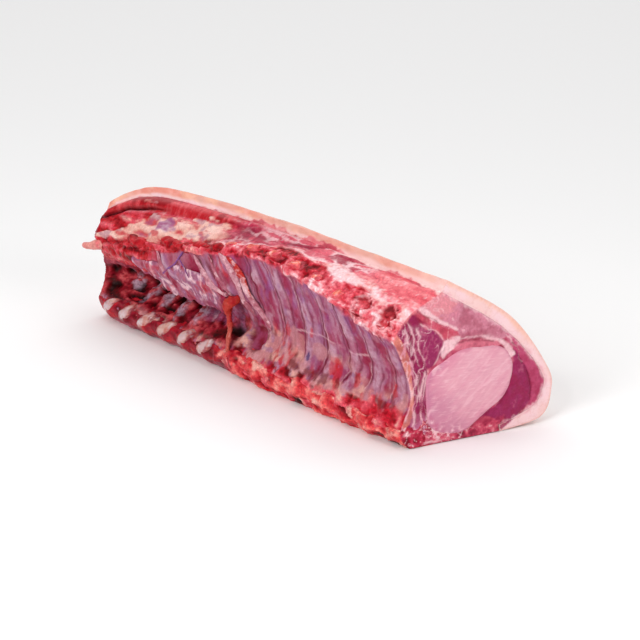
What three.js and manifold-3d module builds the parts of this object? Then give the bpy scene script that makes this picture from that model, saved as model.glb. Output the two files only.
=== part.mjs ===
// A whole bone-in pork loin, raw, lying on its split backbone with the rib side to -Y.
// The shoulder-end cut with the loin eye is at +X, the lumbar end at -X. Millimetres, +Z up.
import * as THREE from "three";
import { mergeVertices } from "three/addons/utils/BufferGeometryUtils.js";
import Module from "manifold-3d";

const wasm = await Module();
wasm.setup();

// Driving dimensions
const CHINE_LENGTH = 522;
const LUMBAR_END_X = -280;
const CUT_SLANT = THREE.MathUtils.degToRad(14); // the shoulder-end cut leans towards the fat side
const LUMBAR_LEAN = 8; // how far the lumbar end has drawn back at the height of the body's middle
const MIDDLE_HEIGHT = 100;
const GAP = 0.35; // between neighbouring tissues
const STATIONS = 40;
const WALL_STEPS = 18;
const STRIP_STEPS = 6;
const BACK_STEPS = 14;
const POCKET_OVERRUN = 5; // a pocket for another tissue runs past the ends by this much

// Edges of the cross-section as [y, z] at five stations, from the lumbar end to the shoulder end
const RAILS = {
  foot: [[-68, 0], [-75, 0], [-72, 0], [-78, 0], [-70, 0]],
  lip: [[-80, 22], [-85, 23], [-84, 23], [-84, 22], [-81, 17]],
  hollow: [[-72, 48], [-41, 49], [-46, 52], [-66, 57], [-71, 52]],
  overhang: [[-78, 80], [-83, 83], [-84, 84], [-75, 100], [-80, 87]],
  sawEdge: [[-89, 98], [-89, 104], [-87, 121], [-85, 145], [-91, 113]],
  stripMiddle: [[-86, 110], [-77, 118], [-70, 132], [-67, 152], [-74, 136]],
  fatTop: [[-70, 138], [-46, 163], [-34, 167], [-32, 167], [-34, 163]],
  shoulder: [[0, 117], [16, 131], [25, 134], [32, 129], [34, 118]],
  flank: [[60, 62], [70, 66], [79, 67], [81, 64], [77, 60]],
  belly: [[69, 34], [77, 36], [86, 36], [87, 35], [83, 33]],
  heel: [[59, 8], [67, 8], [75, 8], [76, 8], [72, 7]],
  fatFoot: [[20, 0], [25, 0], [29, 0], [30, 0], [27, 0]],
};
// The stations crowd towards the lumbar end, where the form changes most
const STATION_CROWDING = 0.6;

// Thickness of the fat cap from its sawn top edge, round the back, to its foot
const FAT_THICKNESS = [12, 13, 8, 11, 16, 7];

// The eye muscle, as centre [y, z] and half-axes at the five stations
const EYE_CENTRE = [[2, 50], [4, 54], [3, 56], [-4, 56], [-11, 52]];
const EYE_HALF_AXES = [[30, 28], [35, 32], [41, 35], [47, 39], [50, 41]];
const EYE_TILT = THREE.MathUtils.degToRad(42);
const EYE_SIDES = 20;
const EYE_STATIONS = 24;

// Bones
const RIB_COUNT = 8;
const RIB_PITCH = 35;
const FIRST_RIB_X = 231;
const RIB_WIDTH = 16;
const RIB_DEPTH = 10;
const RIB_SINK = 3.4; // depth of the rib's middle below the wall
const RIB_SLANT = 0.09; // lean of a rib towards the lumbar end, per height
const RIB_HEAD = 0.36; // where a rib starts on the wall's curve
const RIB_STEPS = 8;
const RIB_SIDES = 8;
const SAWN_END = 2; // a sawn rib end stands proud of the edge
const LUMBAR_COUNT = 6;
const LUMBAR_PITCH = 37;
const FIRST_DISC_X = -67;
const CHINE_TOP = 0.3; // where the backbone ends on the wall's curve
const CHINE_DEPTH = 24;
const CHINE_SHOULDER = 8; // the bevel along the backbone's inner top edge
const CHINE_POCKET_REACH = 20; // how far the pocket for the backbone is open to the front
const CHINE_POCKET_DROP = 10; // and to the bottom, in gaps
const CHINE_STATIONS = 60;
const DISC_BULGE = 3.5;
const DISC_HALF_WIDTH = 8;
const VERTEBRA_BULGE = 1.6;

// The strand of midriff muscle that hangs in front of the hollow
const STRAND_X = -23;
const STRAND_RADIUS = 4.5;
const STRAND_SIDES = 8;

// The tongue of soft fat at the lumbar end
const TONGUE_X = -268;
const TONGUE_LENGTH = 17;
const TONGUE_RADIUS = 6;

const COLOURS = { lean: 0xa8283c, fat: 0xf2c4b4, eye: 0xd995a6, bone: 0xc9705f };

// Point of a rail at share u of the length
function rail(points, u) {
  const curve = new THREE.SplineCurve(points.map(([y, z]) => new THREE.Vector2(y, z)));
  return curve.getPoint(u ** STATION_CROWDING);
}

// Value of an evenly spaced profile at share t
function profile(values, t) {
  const curve = new THREE.SplineCurve(values.map((v, i) => new THREE.Vector2(i, v)));
  return curve.getPoint(t).y;
}

// A section point [y, z] at share u of the length, in space: the sections lean with the two ends
function place(u, y, z) {
  const towardsCut = (y - rail(RAILS.foot, u).x) * Math.tan(CUT_SLANT) * u * u;
  const drawnBack = LUMBAR_LEAN * (z / MIDDLE_HEIGHT) ** 2 * (1 - u) ** 2;
  const x = LUMBAR_END_X + u * CHINE_LENGTH + towardsCut + drawnBack;
  return new THREE.Vector3(x, y, Math.max(z, 0));
}

function curveThrough(names, u) {
  return new THREE.SplineCurve(names.map((name) => rail(RAILS[name], u)));
}

const wallCurve = (u) => curveThrough(["foot", "lip", "hollow", "overhang", "sawEdge"], u);
const backCurve = (u) => curveThrough(["fatTop", "shoulder", "flank", "belly", "heel", "fatFoot"], u);

// Point of the fat cap's inner face: the back curve moved inwards by the fat's thickness
function underFat(u, t, extra = 0) {
  const curve = backCurve(u);
  const tangent = curve.getTangent(t);
  const inwards = new THREE.Vector2(tangent.y, -tangent.x);
  return curve.getPoint(t).addScaledVector(inwards, profile(FAT_THICKNESS, t) + extra);
}

function samples(count, start = 0, end = 1) {
  return Array.from({ length: count + 1 }, (_, i) => THREE.MathUtils.lerp(start, end, i / count));
}

// A closed solid through rings of points, each ring listed the same way round. Crossed turns the
// diagonal of every four-sided face, for a face that lies along another solid's.
function loft(rings, crossed = false) {
  const sides = rings[0].length;
  const vertices = rings.flat().flatMap((p) => [p.x, p.y, p.z]);
  const faces = [];
  for (let r = 0; r + 1 < rings.length; r++) {
    for (let s = 0; s < sides; s++) {
      const next = (s + 1) % sides;
      const [a, b] = [r * sides + s, r * sides + next];
      const [c, d] = [a + sides, b + sides];
      if (crossed) faces.push(a, b, c, b, d, c);
      else faces.push(a, b, d, a, d, c);
    }
  }
  const last = (rings.length - 1) * sides;
  for (const [first, ring, turned] of [[0, rings[0], true], [last, rings.at(-1), false]]) {
    for (const [a, b, c] of THREE.ShapeUtils.triangulateShape(flatten(ring), [])) {
      faces.push(first + a, first + (turned ? c : b), first + (turned ? b : c));
    }
  }
  const geometry = new THREE.BufferGeometry();
  geometry.setAttribute("position", new THREE.Float32BufferAttribute(vertices, 3));
  geometry.setIndex(faces);
  return geometry;
}

// A ring's points in its own plane, anticlockwise
function flatten(ring) {
  const across = ring[1].clone().sub(ring[0]).normalize();
  const normal = new THREE.Vector3();
  for (let i = 0; i < ring.length; i++) {
    normal.add(ring[i].clone().cross(ring[(i + 1) % ring.length]));
  }
  const up = normal.normalize().clone().cross(across);
  return ring.map((p) => new THREE.Vector2(p.dot(across), p.dot(up)));
}

function solid(geometry) {
  const bare = mergeVertices(geometry, 1e-4);
  const mesh = new wasm.Mesh({
    numProp: 3,
    vertProperties: bare.attributes.position.array,
    triVerts: new Uint32Array(bare.index.array),
  });
  return new wasm.Manifold(mesh);
}

function geometryOf(manifold) {
  const { vertProperties, triVerts } = manifold.getMesh();
  const geometry = new THREE.BufferGeometry();
  geometry.setAttribute("position", new THREE.BufferAttribute(vertProperties, 3));
  geometry.setIndex(new THREE.BufferAttribute(triVerts, 1));
  return geometry;
}

// Lean: everything inside the fat cap, from the rib wall to the back
function leanRing(u) {
  const wall = wallCurve(u);
  const corner = underFat(u, 0, GAP);
  const strip = new THREE.SplineCurve([wall.getPoint(1), rail(RAILS.stripMiddle, u), corner]);
  const outline = [
    ...samples(WALL_STEPS).map((t) => wall.getPoint(t)),
    ...samples(STRIP_STEPS).slice(1).map((t) => strip.getPoint(t)),
    ...samples(BACK_STEPS).slice(1, -1).map((t) => underFat(u, t, GAP)),
    underFat(u, 1, GAP).setX(rail(RAILS.fatFoot, u).x - 6 * GAP),
    new THREE.Vector2(rail(RAILS.fatFoot, u).x - 2 * GAP, 0),
  ];
  return outline.map((p) => place(u, p.x, p.y)).reverse();
}

// Fat cap: the crescent between the back and the lean, with the rind left on
function fatRing(u) {
  const back = backCurve(u);
  const outline = [
    ...samples(BACK_STEPS).map((t) => back.getPoint(t)),
    ...samples(BACK_STEPS, 1, 0).map((t) => underFat(u, t)),
  ];
  return outline.map((p) => place(u, p.x, p.y)).reverse();
}

// Eye muscle: a tilted oval that runs from end to end
function eyeRing(u, extra = 0) {
  const centre = rail(EYE_CENTRE, u);
  const half = rail(EYE_HALF_AXES, u);
  return samples(EYE_SIDES).slice(1).map((t) => {
    const angle = t * 2 * Math.PI;
    const p = new THREE.Vector2((half.x + extra) * Math.cos(angle), (half.y + extra) * Math.sin(angle));
    p.rotateAround(new THREE.Vector2(), EYE_TILT).add(centre);
    return place(u, p.x, p.y);
  });
}

// Height of the backbone's lumps at x: a soft swelling at each vertebra, a firm one at each lumbar disc
function chineBulge(x) {
  let bulge = VERTEBRA_BULGE * Math.cos((2 * Math.PI * (x - FIRST_RIB_X)) / RIB_PITCH);
  if (x < FIRST_DISC_X + LUMBAR_PITCH / 2) bulge = 0;
  for (let i = 0; i < LUMBAR_COUNT; i++) {
    const away = (x - FIRST_DISC_X + i * LUMBAR_PITCH) / DISC_HALF_WIDTH;
    bulge += DISC_BULGE * Math.exp(-away * away);
  }
  return bulge;
}

// Backbone: the split vertebrae along the foot of the wall
function chineRing(u, extra = 0) {
  const wall = wallCurve(u);
  const bulge = extra ? 0 : chineBulge(LUMBAR_END_X + u * CHINE_LENGTH);
  const front = samples(5, 0, CHINE_TOP).map((t) => {
    const p = wall.getPoint(t);
    p.x -= extra ? CHINE_POCKET_REACH : bulge * Math.sin((Math.PI * t) / CHINE_TOP);
    return p;
  });
  const top = wall.getPoint(CHINE_TOP);
  const inside = rail(RAILS.foot, u).x + CHINE_DEPTH + extra;
  const bottom = -CHINE_POCKET_DROP * extra;
  front[0].y = bottom;
  front.at(-1).y = top.y + extra;
  const outline = [
    ...front,
    new THREE.Vector2(inside - CHINE_SHOULDER, top.y + extra),
    new THREE.Vector2(inside, top.y - CHINE_SHOULDER),
    new THREE.Vector2(inside, bottom),
  ];
  return outline.map((p) => {
    const q = place(u, p.x, p.y);
    return q.setZ(p.y);
  }).reverse();
}

// Rib: a flat oval bar let into the wall, sawn off at the wall's top edge
function ribRings(index, extra = 0) {
  const headX = FIRST_RIB_X - index * RIB_PITCH;
  const path = samples(RIB_STEPS, RIB_HEAD, 1).map((t) => ribPoint(headX, t));
  const ends = path.at(-1).clone().sub(path.at(-2)).normalize();
  path.push(path.at(-1).clone().addScaledVector(ends, extra ? 4 * SAWN_END : SAWN_END));
  if (extra) path[0].addScaledVector(path[1].clone().sub(path[0]).normalize(), -2 * extra);
  return path.map((centre, i) => {
    const before = path[Math.max(i - 1, 0)];
    const after = path[Math.min(i + 1, path.length - 1)];
    const along = after.clone().sub(before).normalize();
    const across = new THREE.Vector3(1, 0, 0).addScaledVector(along, -along.x).normalize();
    const outwards = along.clone().cross(across);
    return samples(RIB_SIDES).slice(1).map((t) => {
      const angle = t * 2 * Math.PI;
      return centre.clone()
        .addScaledVector(across, (RIB_WIDTH / 2 + extra) * Math.cos(angle))
        .addScaledVector(outwards, (RIB_DEPTH / 2 + extra) * Math.sin(angle));
    });
  });
}

// Middle of a rib at share t of the wall's curve
function ribPoint(headX, t) {
  const height = wallCurve((headX - LUMBAR_END_X) / CHINE_LENGTH).getPoint(t).y;
  const u = (headX - RIB_SLANT * height - LUMBAR_END_X) / CHINE_LENGTH;
  const wall = wallCurve(u);
  const tangent = wall.getTangent(t);
  const p = wall.getPoint(t).addScaledVector(new THREE.Vector2(tangent.y, -tangent.x), RIB_SINK);
  return place(u, p.x, p.y);
}

// A round strand along a curve, from a radius at each of its points
function strand(points, radii) {
  const curve = new THREE.CatmullRomCurve3(points);
  const steps = 2 * (points.length - 1);
  const frames = curve.computeFrenetFrames(steps);
  return loft(samples(steps).map((t, i) => samples(STRAND_SIDES).slice(1).map((s) => {
    const angle = s * 2 * Math.PI;
    const radius = profile(radii, t);
    return curve.getPoint(t)
      .addScaledVector(frames.normals[i], radius * Math.cos(angle))
      .addScaledVector(frames.binormals[i], radius * Math.sin(angle));
  })));
}

function midriffStrand() {
  const u = (STRAND_X - LUMBAR_END_X) / CHINE_LENGTH;
  const top = rail(RAILS.overhang, u);
  const low = rail(RAILS.lip, u);
  const points = [
    new THREE.Vector3(STRAND_X + 7, top.x + 6, top.y - 8),
    new THREE.Vector3(STRAND_X, top.x - 5, top.y - 18),
    new THREE.Vector3(STRAND_X - 6, (top.x + low.x) / 2, (top.y + low.y) / 2),
    new THREE.Vector3(STRAND_X - 13, low.x + 5, low.y + 20),
    new THREE.Vector3(STRAND_X - 21, low.x + 26, low.y + 16),
  ];
  return strand(points, [1.4, 1.8, 1, 0.9, 1.3].map((share) => share * STRAND_RADIUS));
}

function fatTongue() {
  const u = (TONGUE_X - LUMBAR_END_X) / CHINE_LENGTH;
  const root = rail(RAILS.sawEdge, u);
  const points = [
    new THREE.Vector3(TONGUE_X + 18, root.x + 12, root.y - 4),
    new THREE.Vector3(TONGUE_X + 4, root.x + 2, root.y - 8),
    new THREE.Vector3(TONGUE_X - TONGUE_LENGTH / 2, root.x - TONGUE_LENGTH / 4, root.y - 11),
    new THREE.Vector3(TONGUE_X - TONGUE_LENGTH, root.x - TONGUE_LENGTH / 3, root.y - 12),
  ];
  return strand(points, [1.2, 1, 0.7, 0.5].map((share) => share * TONGUE_RADIUS));
}

const ringsAlong = (ring, count) => samples(count).map((u) => ring(u));
// A pocket runs past both ends, so that the cut leaves no skin there
function longPocket(ring, count) {
  const rings = ringsAlong(ring, count);
  const shift = (points, x) => points.map((p) => p.clone().setX(p.x + x));
  return solid(loft([shift(rings[0], -POCKET_OVERRUN), ...rings, shift(rings.at(-1), POCKET_OVERRUN)]));
}

function makeLean() {
  let lean = solid(loft(ringsAlong(leanRing, STATIONS)));
  lean = lean.subtract(longPocket((u) => eyeRing(u, GAP), EYE_STATIONS));
  lean = lean.subtract(longPocket((u) => chineRing(u, GAP), STATIONS));
  lean = lean.add(solid(midriffStrand())).add(solid(fatTongue()));
  for (let i = 0; i < RIB_COUNT; i++) lean = lean.subtract(solid(loft(ribRings(i, GAP))));
  return geometryOf(lean);
}

const loin = new THREE.Group();

function addPart(name, geometry, color, roughness) {
  const material = new THREE.MeshStandardMaterial({ color, roughness, metalness: 0 });
  const mesh = new THREE.Mesh(geometry, material);
  mesh.name = name;
  loin.add(mesh);
}

addPart("lean", makeLean(), COLOURS.lean, 0.4);
addPart("fat_cap", loft(ringsAlong(fatRing, STATIONS), true), COLOURS.fat, 0.5);
addPart("loin_eye", loft(ringsAlong(eyeRing, EYE_STATIONS)), COLOURS.eye, 0.45);
addPart("chine", loft(ringsAlong(chineRing, CHINE_STATIONS)), COLOURS.bone, 0.5);
for (let i = 0; i < RIB_COUNT; i++) {
  addPart(`rib_${i + 1}`, loft(ribRings(i)), COLOURS.bone, 0.5);
}

// The origin is the middle of the bottom of the whole
const box = new THREE.Box3().setFromObject(loin);
const middle = box.getCenter(new THREE.Vector3()).setZ(box.min.z);
for (const mesh of loin.children) mesh.geometry.translate(-middle.x, -middle.y, -middle.z);

export default loin;
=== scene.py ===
"""A raw bone-in pork loin on a pale floor, seen from its rib side and its shoulder-end cut."""
import math

import bpy
import numpy as np
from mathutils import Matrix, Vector
from mathutils.geometry import delaunay_2d_cdt


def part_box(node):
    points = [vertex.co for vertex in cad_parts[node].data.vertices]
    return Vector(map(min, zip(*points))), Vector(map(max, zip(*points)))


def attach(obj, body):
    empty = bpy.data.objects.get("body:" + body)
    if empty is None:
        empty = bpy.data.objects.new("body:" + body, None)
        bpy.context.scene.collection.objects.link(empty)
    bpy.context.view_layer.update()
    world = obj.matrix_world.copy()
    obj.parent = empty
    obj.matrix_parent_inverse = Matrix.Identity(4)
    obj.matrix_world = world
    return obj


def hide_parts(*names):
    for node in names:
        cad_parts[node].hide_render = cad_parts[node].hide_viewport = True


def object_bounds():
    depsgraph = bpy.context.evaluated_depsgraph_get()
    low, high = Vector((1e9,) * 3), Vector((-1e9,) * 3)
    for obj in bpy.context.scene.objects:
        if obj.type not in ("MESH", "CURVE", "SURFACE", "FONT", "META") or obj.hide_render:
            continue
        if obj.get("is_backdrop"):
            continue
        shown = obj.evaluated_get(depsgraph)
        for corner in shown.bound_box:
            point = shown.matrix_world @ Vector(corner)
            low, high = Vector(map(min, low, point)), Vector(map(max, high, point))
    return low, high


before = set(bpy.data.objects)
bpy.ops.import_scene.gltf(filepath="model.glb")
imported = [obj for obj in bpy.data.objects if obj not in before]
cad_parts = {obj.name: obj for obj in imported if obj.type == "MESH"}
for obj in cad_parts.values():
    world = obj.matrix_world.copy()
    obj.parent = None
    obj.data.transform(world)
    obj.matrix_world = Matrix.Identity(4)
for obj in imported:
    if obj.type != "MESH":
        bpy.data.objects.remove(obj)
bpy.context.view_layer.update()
scene = bpy.context.scene

# Camera and studio: a long lens off the corner between the rib side and the cut, a little above the loin.
# Broad lamps over a pale floor give soft light with small wet glints.
MM = 0.001
CAMERA_AZIMUTH = math.radians(50)
CAMERA_RISE = math.radians(19)
CAMERA_PLACE = Vector((1330.7, -1088.4, 642.6)) * MM
SENSOR = 36.0
FRAME_PIXELS = 640
FOCAL_PIXELS = 1700
LAMP_AIM = Vector((0, 0, 0.08))
# Each lamp's place, its width in metres and its power in watts
LAMPS = {
    "ceiling": ((-1.4, 1.2, 4.5), 10.0, 320),
    "front_lamp": ((0.5, -2.0, 1.2), 0.8, 22),
    "end_lamp": ((2.2, 0.1, 1.0), 0.8, 12),
    "spark_lamp": ((1.0, -1.7, 1.5), 0.22, 7),
}
ROOM_LIGHT = 0.2
FLOOR_HALF = 30.0
FLOOR_DROP = 0.4 * MM
FLOOR_COLOUR = (0.96, 0.955, 0.955, 1)
FLOOR_ROUGHNESS = 0.9

lens = bpy.data.cameras.new("camera")
lens.sensor_width = SENSOR
lens.lens = SENSOR * FOCAL_PIXELS / FRAME_PIXELS
camera = bpy.data.objects.new("camera", lens)
camera.location = CAMERA_PLACE
towards_camera = Vector((
    math.sin(CAMERA_AZIMUTH) * math.cos(CAMERA_RISE),
    -math.cos(CAMERA_AZIMUTH) * math.cos(CAMERA_RISE),
    math.sin(CAMERA_RISE),
))
camera.rotation_euler = towards_camera.to_track_quat("Z", "Y").to_euler()
scene.collection.objects.link(camera)
scene.camera = camera
scene.view_settings.view_transform = "Standard"

for lamp_name, (lamp_place, size, watts) in LAMPS.items():
    light = bpy.data.lights.new(lamp_name, "AREA")
    light.size = size
    light.energy = watts
    lamp = bpy.data.objects.new(lamp_name, light)
    lamp.location = lamp_place
    lamp.rotation_euler = (Vector(lamp_place) - LAMP_AIM).to_track_quat("Z", "Y").to_euler()
    scene.collection.objects.link(lamp)

room = bpy.data.worlds.new("room")
room.use_nodes = True
sky = room.node_tree.nodes["Background"].inputs
sky["Color"].default_value = (1, 1, 1, 1)
sky["Strength"].default_value = ROOM_LIGHT
scene.world = room

floor_mesh = bpy.data.meshes.new("floor")
turns = ((-1, -1), (1, -1), (1, 1), (-1, 1))
floor_corners = [(x * FLOOR_HALF, y * FLOOR_HALF, -FLOOR_DROP) for x, y in turns]
floor_mesh.from_pydata(floor_corners, [], [(0, 1, 2, 3)])
floor = bpy.data.objects.new("floor", floor_mesh)
scene.collection.objects.link(floor)
floor_finish = bpy.data.materials.new("pale_floor")
floor_finish.use_nodes = True
floor_shader = floor_finish.node_tree.nodes["Principled BSDF"]
floor_shader.inputs["Base Color"].default_value = FLOOR_COLOUR
floor_shader.inputs["Roughness"].default_value = FLOOR_ROUGHNESS
floor_mesh.materials.append(floor_finish)
floor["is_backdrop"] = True

# Fat cap: the crescent of firm white back fat with its rind left on, from end to end of the loin.
# Its top edge is sawn along the whole length, and both ends are clean knife cuts.
CHINE_LENGTH = 522
LUMBAR_END_X = -280
CUT_SLANT = math.tan(math.radians(14))
LUMBAR_LEAN = 8
MIDDLE_HEIGHT = 100
STATION_CROWDING = 0.6
# Edges of the cross-section as [y, z] at five stations, from the lumbar end to the shoulder end
RAILS = {
    "foot": [[-68, 0], [-75, 0], [-72, 0], [-78, 0], [-70, 0]],
    "lip": [[-80, 22], [-85, 23], [-84, 23], [-84, 22], [-81, 17]],
    "hollow": [[-72, 48], [-41, 49], [-46, 52], [-66, 57], [-71, 52]],
    "overhang": [[-78, 80], [-83, 83], [-84, 84], [-75, 100], [-80, 87]],
    "saw_edge": [[-89, 98], [-89, 104], [-87, 121], [-85, 145], [-91, 113]],
    "strip_middle": [[-86, 110], [-77, 118], [-70, 132], [-67, 152], [-74, 136]],
    "fat_top": [[-70, 138], [-46, 163], [-34, 167], [-32, 167], [-34, 163]],
    "shoulder": [[0, 117], [16, 131], [25, 134], [32, 129], [34, 118]],
    "flank": [[60, 62], [70, 66], [79, 67], [81, 64], [77, 60]],
    "belly": [[69, 34], [77, 36], [86, 36], [87, 35], [83, 33]],
    "heel": [[59, 8], [67, 8], [75, 8], [76, 8], [72, 7]],
    "fat_foot": [[20, 0], [25, 0], [29, 0], [30, 0], [27, 0]],
}
WALL = ["foot", "lip", "hollow", "overhang", "saw_edge"]
BACK = ["fat_top", "shoulder", "flank", "belly", "heel", "fat_foot"]
FAT_THICKNESS = [12, 13, 8, 11, 16, 7]
FAT_STATIONS = 330
RIND_SAMPLES = 110
MEAT_SAMPLES = 30
SAWN_SAMPLES = 15
LINE_SAMPLES = 80
FAT_CUT_SPACING = 1.4
FAT_FAR_SPACING = 1.6
FAT_WAVE = 0.7
FAT_DIMPLE = 0.25
FOOT_TAPER = 0.7
# Where the rind and the sawn fat are flushed: the middle along the loin and the width
RIND_FLUSH = (-20, 120)
SAWN_FLUSH = (70, 130)
END_FADE = 0.01
CREASE_ANGLE = math.radians(55)


def at(*coordinates):
    """Points from their coordinates, which may be arrays or plain numbers."""
    return np.stack(np.broadcast_arrays(*coordinates), axis=-1)


def spline(points, share, paired=False):
    """Smooth curve through evenly spaced points, which lie along the first axis. Where the shares are
    paired, each has its own points along the second axis."""
    points = np.asarray(points, float)
    last = len(points) - 1
    spot = np.clip(np.asarray(share, float), 0, 1) * last
    first = np.minimum(spot.astype(int), last - 1)
    corners = [np.clip(first + step, 0, last) for step in (-1, 0, 1, 2)]
    own = np.arange(len(spot)) if paired else slice(None)
    before, start, end, after = (points[corner, own] if paired else points[corner] for corner in corners)
    way = (spot - first).reshape(spot.shape + (1,) * (start.ndim - spot.ndim))
    leave = (end - before) / 2
    arrive = (after - start) / 2
    bend = 2 * (start - end) + leave + arrive
    swing = 3 * (end - start) - 2 * leave - arrive
    return ((bend * way + swing) * way + leave) * way + start


def share_at(x):
    """Share of the loin's length at a place along its backbone."""
    return (x - LUMBAR_END_X) / CHINE_LENGTH


def rail(edge, u):
    """Points [y, z] of an edge of the cross-section at shares u of the length."""
    return spline(RAILS[edge], np.asarray(u, float) ** STATION_CROWDING)


def section(edges, u, t):
    """Section points at shares u of the length and shares t of the curve through the named edges."""
    return spline([rail(edge, u) for edge in edges], t).swapaxes(0, 1)


def place(u, flat):
    """Section points [y, z] in space: the sections lean with the two ends."""
    u = np.asarray(u, float).reshape((-1,) + (1,) * (flat.ndim - 2))
    y = flat[..., 0]
    z = np.maximum(flat[..., 1], 0)
    towards_cut = (y - rail("foot", u)[..., 0]) * CUT_SLANT * u**2
    drawn_back = LUMBAR_LEAN * (z / MIDDLE_HEIGHT) ** 2 * (1 - u) ** 2
    return at(LUMBAR_END_X + u * CHINE_LENGTH + towards_cut + drawn_back, y, z)


def under_fat(u, t, extra=0):
    """The fat's inner face: the back curve moved inwards by the fat's thickness."""
    back = section(BACK, u, t)
    step = 1e-3
    tangent = section(BACK, u, np.minimum(t + step, 1)) - section(BACK, u, np.maximum(t - step, 0))
    tangent /= np.linalg.norm(tangent, axis=-1, keepdims=True)
    inwards = at(tangent[..., 1], -tangent[..., 0])
    return back + inwards * (spline(FAT_THICKNESS, t) + extra)[None, :, None]


LATTICE = np.random.default_rng(11).uniform(-1, 1, (32, 32, 32))


def noise(points, size, seed, octaves=3):
    """Soft random lumps from -1 to 1, with the largest as wide as size."""
    size = np.asarray(size, float)
    total = np.zeros(points.shape[:-1])
    for octave in range(octaves):
        spot = points / size * 2**octave + 7.3 * seed + 3.1 * octave
        cell = np.floor(spot).astype(int)
        way = spot - cell
        way = way * way * (3 - 2 * way)
        for corner in np.ndindex(2, 2, 2):
            i, j, k = np.moveaxis((cell + corner) % len(LATTICE), -1, 0)
            share = np.where(corner, way, 1 - way).prod(axis=-1)
            total += LATTICE[i, j, k] * share / 2**octave
    return total


def smooth(low, high, value):
    """0 below low, 1 above high, with a soft step between them."""
    share = np.clip((value - low) / (high - low), 0, 1)
    return share * share * (3 - 2 * share)


def patches(points, size, seed, low, high):
    """Soft random patches: 0 where the lumps of noise stay below low, 1 where they rise above high."""
    return smooth(low, high, noise(points, size, seed=seed))


def between_ends(u, fade):
    """1 along the loin, fading to 0 at both of its ends."""
    return smooth(0, fade, u) * smooth(1, 1 - fade, u)


def hump(value, middle, width):
    """A soft hump of height 1 round the middle."""
    return np.exp(-(((value - middle) / width) ** 2))


def tone(red, green, blue):
    """A colour as it looks on a screen, from 0 to 255, as linear light."""
    return (np.array((red, green, blue)) / 255) ** 2.2


def plain(shade, points):
    """One colour at every point."""
    return np.broadcast_to(shade, points.shape).copy()


def lay(paint, shade, mask):
    """Lays a colour over painted points, where the mask is 1."""
    paint += (shade - paint) * np.asarray(mask)[..., None]


def facing(grid, closed=True):
    """Outward directions of a grid along the loin, whose rows are closed rings or open lines."""
    along = np.gradient(grid, axis=0)
    if closed:
        around = np.roll(grid, -1, axis=1) - np.roll(grid, 1, axis=1)
    else:
        around = np.gradient(grid, axis=1)
    out = np.cross(along, around)
    return out / np.maximum(np.linalg.norm(out, axis=-1, keepdims=True), 1e-9)


def tube_faces(rings, around):
    """Four-sided faces of a tube of closed rings, facing outwards."""
    ring, spot = np.meshgrid(np.arange(rings - 1), np.arange(around), indexing="ij")
    here = ring * around + spot
    beside = ring * around + (spot + 1) % around
    return np.stack([here, here + around, beside + around, beside], axis=-1).reshape(-1, 4).tolist()


def depth_inside(outline, points):
    """How deep flat points lie inside a closed outline. It is negative outside."""
    nearest = np.full(len(points), np.inf)
    crossings = np.zeros(len(points), int)
    for start, end in zip(outline, np.roll(outline, -1, axis=0)):
        edge = end - start
        away = points - start
        share = np.clip(away @ edge / max(edge @ edge, 1e-12), 0, 1)
        nearest = np.minimum(nearest, np.linalg.norm(away - share[:, None] * edge, axis=1))
        if start[1] != end[1]:
            spans = (start[1] > points[:, 1]) != (end[1] > points[:, 1])
            crossings += spans & (away[:, 0] < edge[0] * away[:, 1] / edge[1])
    return np.where(crossings % 2 == 1, nearest, -nearest)


def fill_ring(ring, end, spacing, keep=None):
    """Inner points that fill the ring at an end of the loin, flat and in space, and the triangles that
    close it."""
    outline = ring[:, 1:]
    low = outline.min(axis=0)
    high = outline.max(axis=0)
    rows = np.arange(low[1], high[1], spacing * math.sqrt(3) / 2)
    columns = np.arange(low[0], high[0], spacing)
    across, up = np.meshgrid(columns, rows)
    across = across + np.arange(len(rows))[:, None] % 2 * spacing / 2
    flat = at(across, up).reshape(-1, 2)
    if keep is not None:
        flat = flat[keep(flat)]
    flat = flat[depth_inside(outline, flat) > 0.5 * spacing]
    corners = [Vector(point) for point in np.vstack([outline, flat])]
    filled = delaunay_2d_cdt(corners, [], [list(range(len(outline)))], 1, 1e-6)
    source = [origins[0] for origins in filled[3]]
    triangles = [[source[corner] for corner in face] for face in filled[2]]
    return flat, place([end], flat[None])[0], triangles


def capped_faces(rings, near_triangles, near_count, far_triangles):
    """Faces of a tube that is filled at both ends. Its points are those of its rings, then the inner points
    of the near end and those of the far one."""
    stations, around = rings.shape[:2]
    inner = stations * around
    near_shift = inner - around
    far_shift = inner + near_count - around
    near = [[corner + near_shift for corner in face] for face in near_triangles]
    far = [[corner if corner < around else corner + far_shift for corner in face] for face in far_triangles]
    return tube_faces(stations, around) + near + [face[::-1] for face in far]


# The loin is drawn about its own middle. This moves it to where the frame has its backbone and its back
SHIFT = np.array([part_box("chine")[0].x / MM - LUMBAR_END_X, 0, 0])
every_station = np.linspace(0, 1, 41)
SHIFT[1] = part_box("fat_cap")[1].y / MM - section(BACK, every_station, every_station)[..., 0].max()


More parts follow.
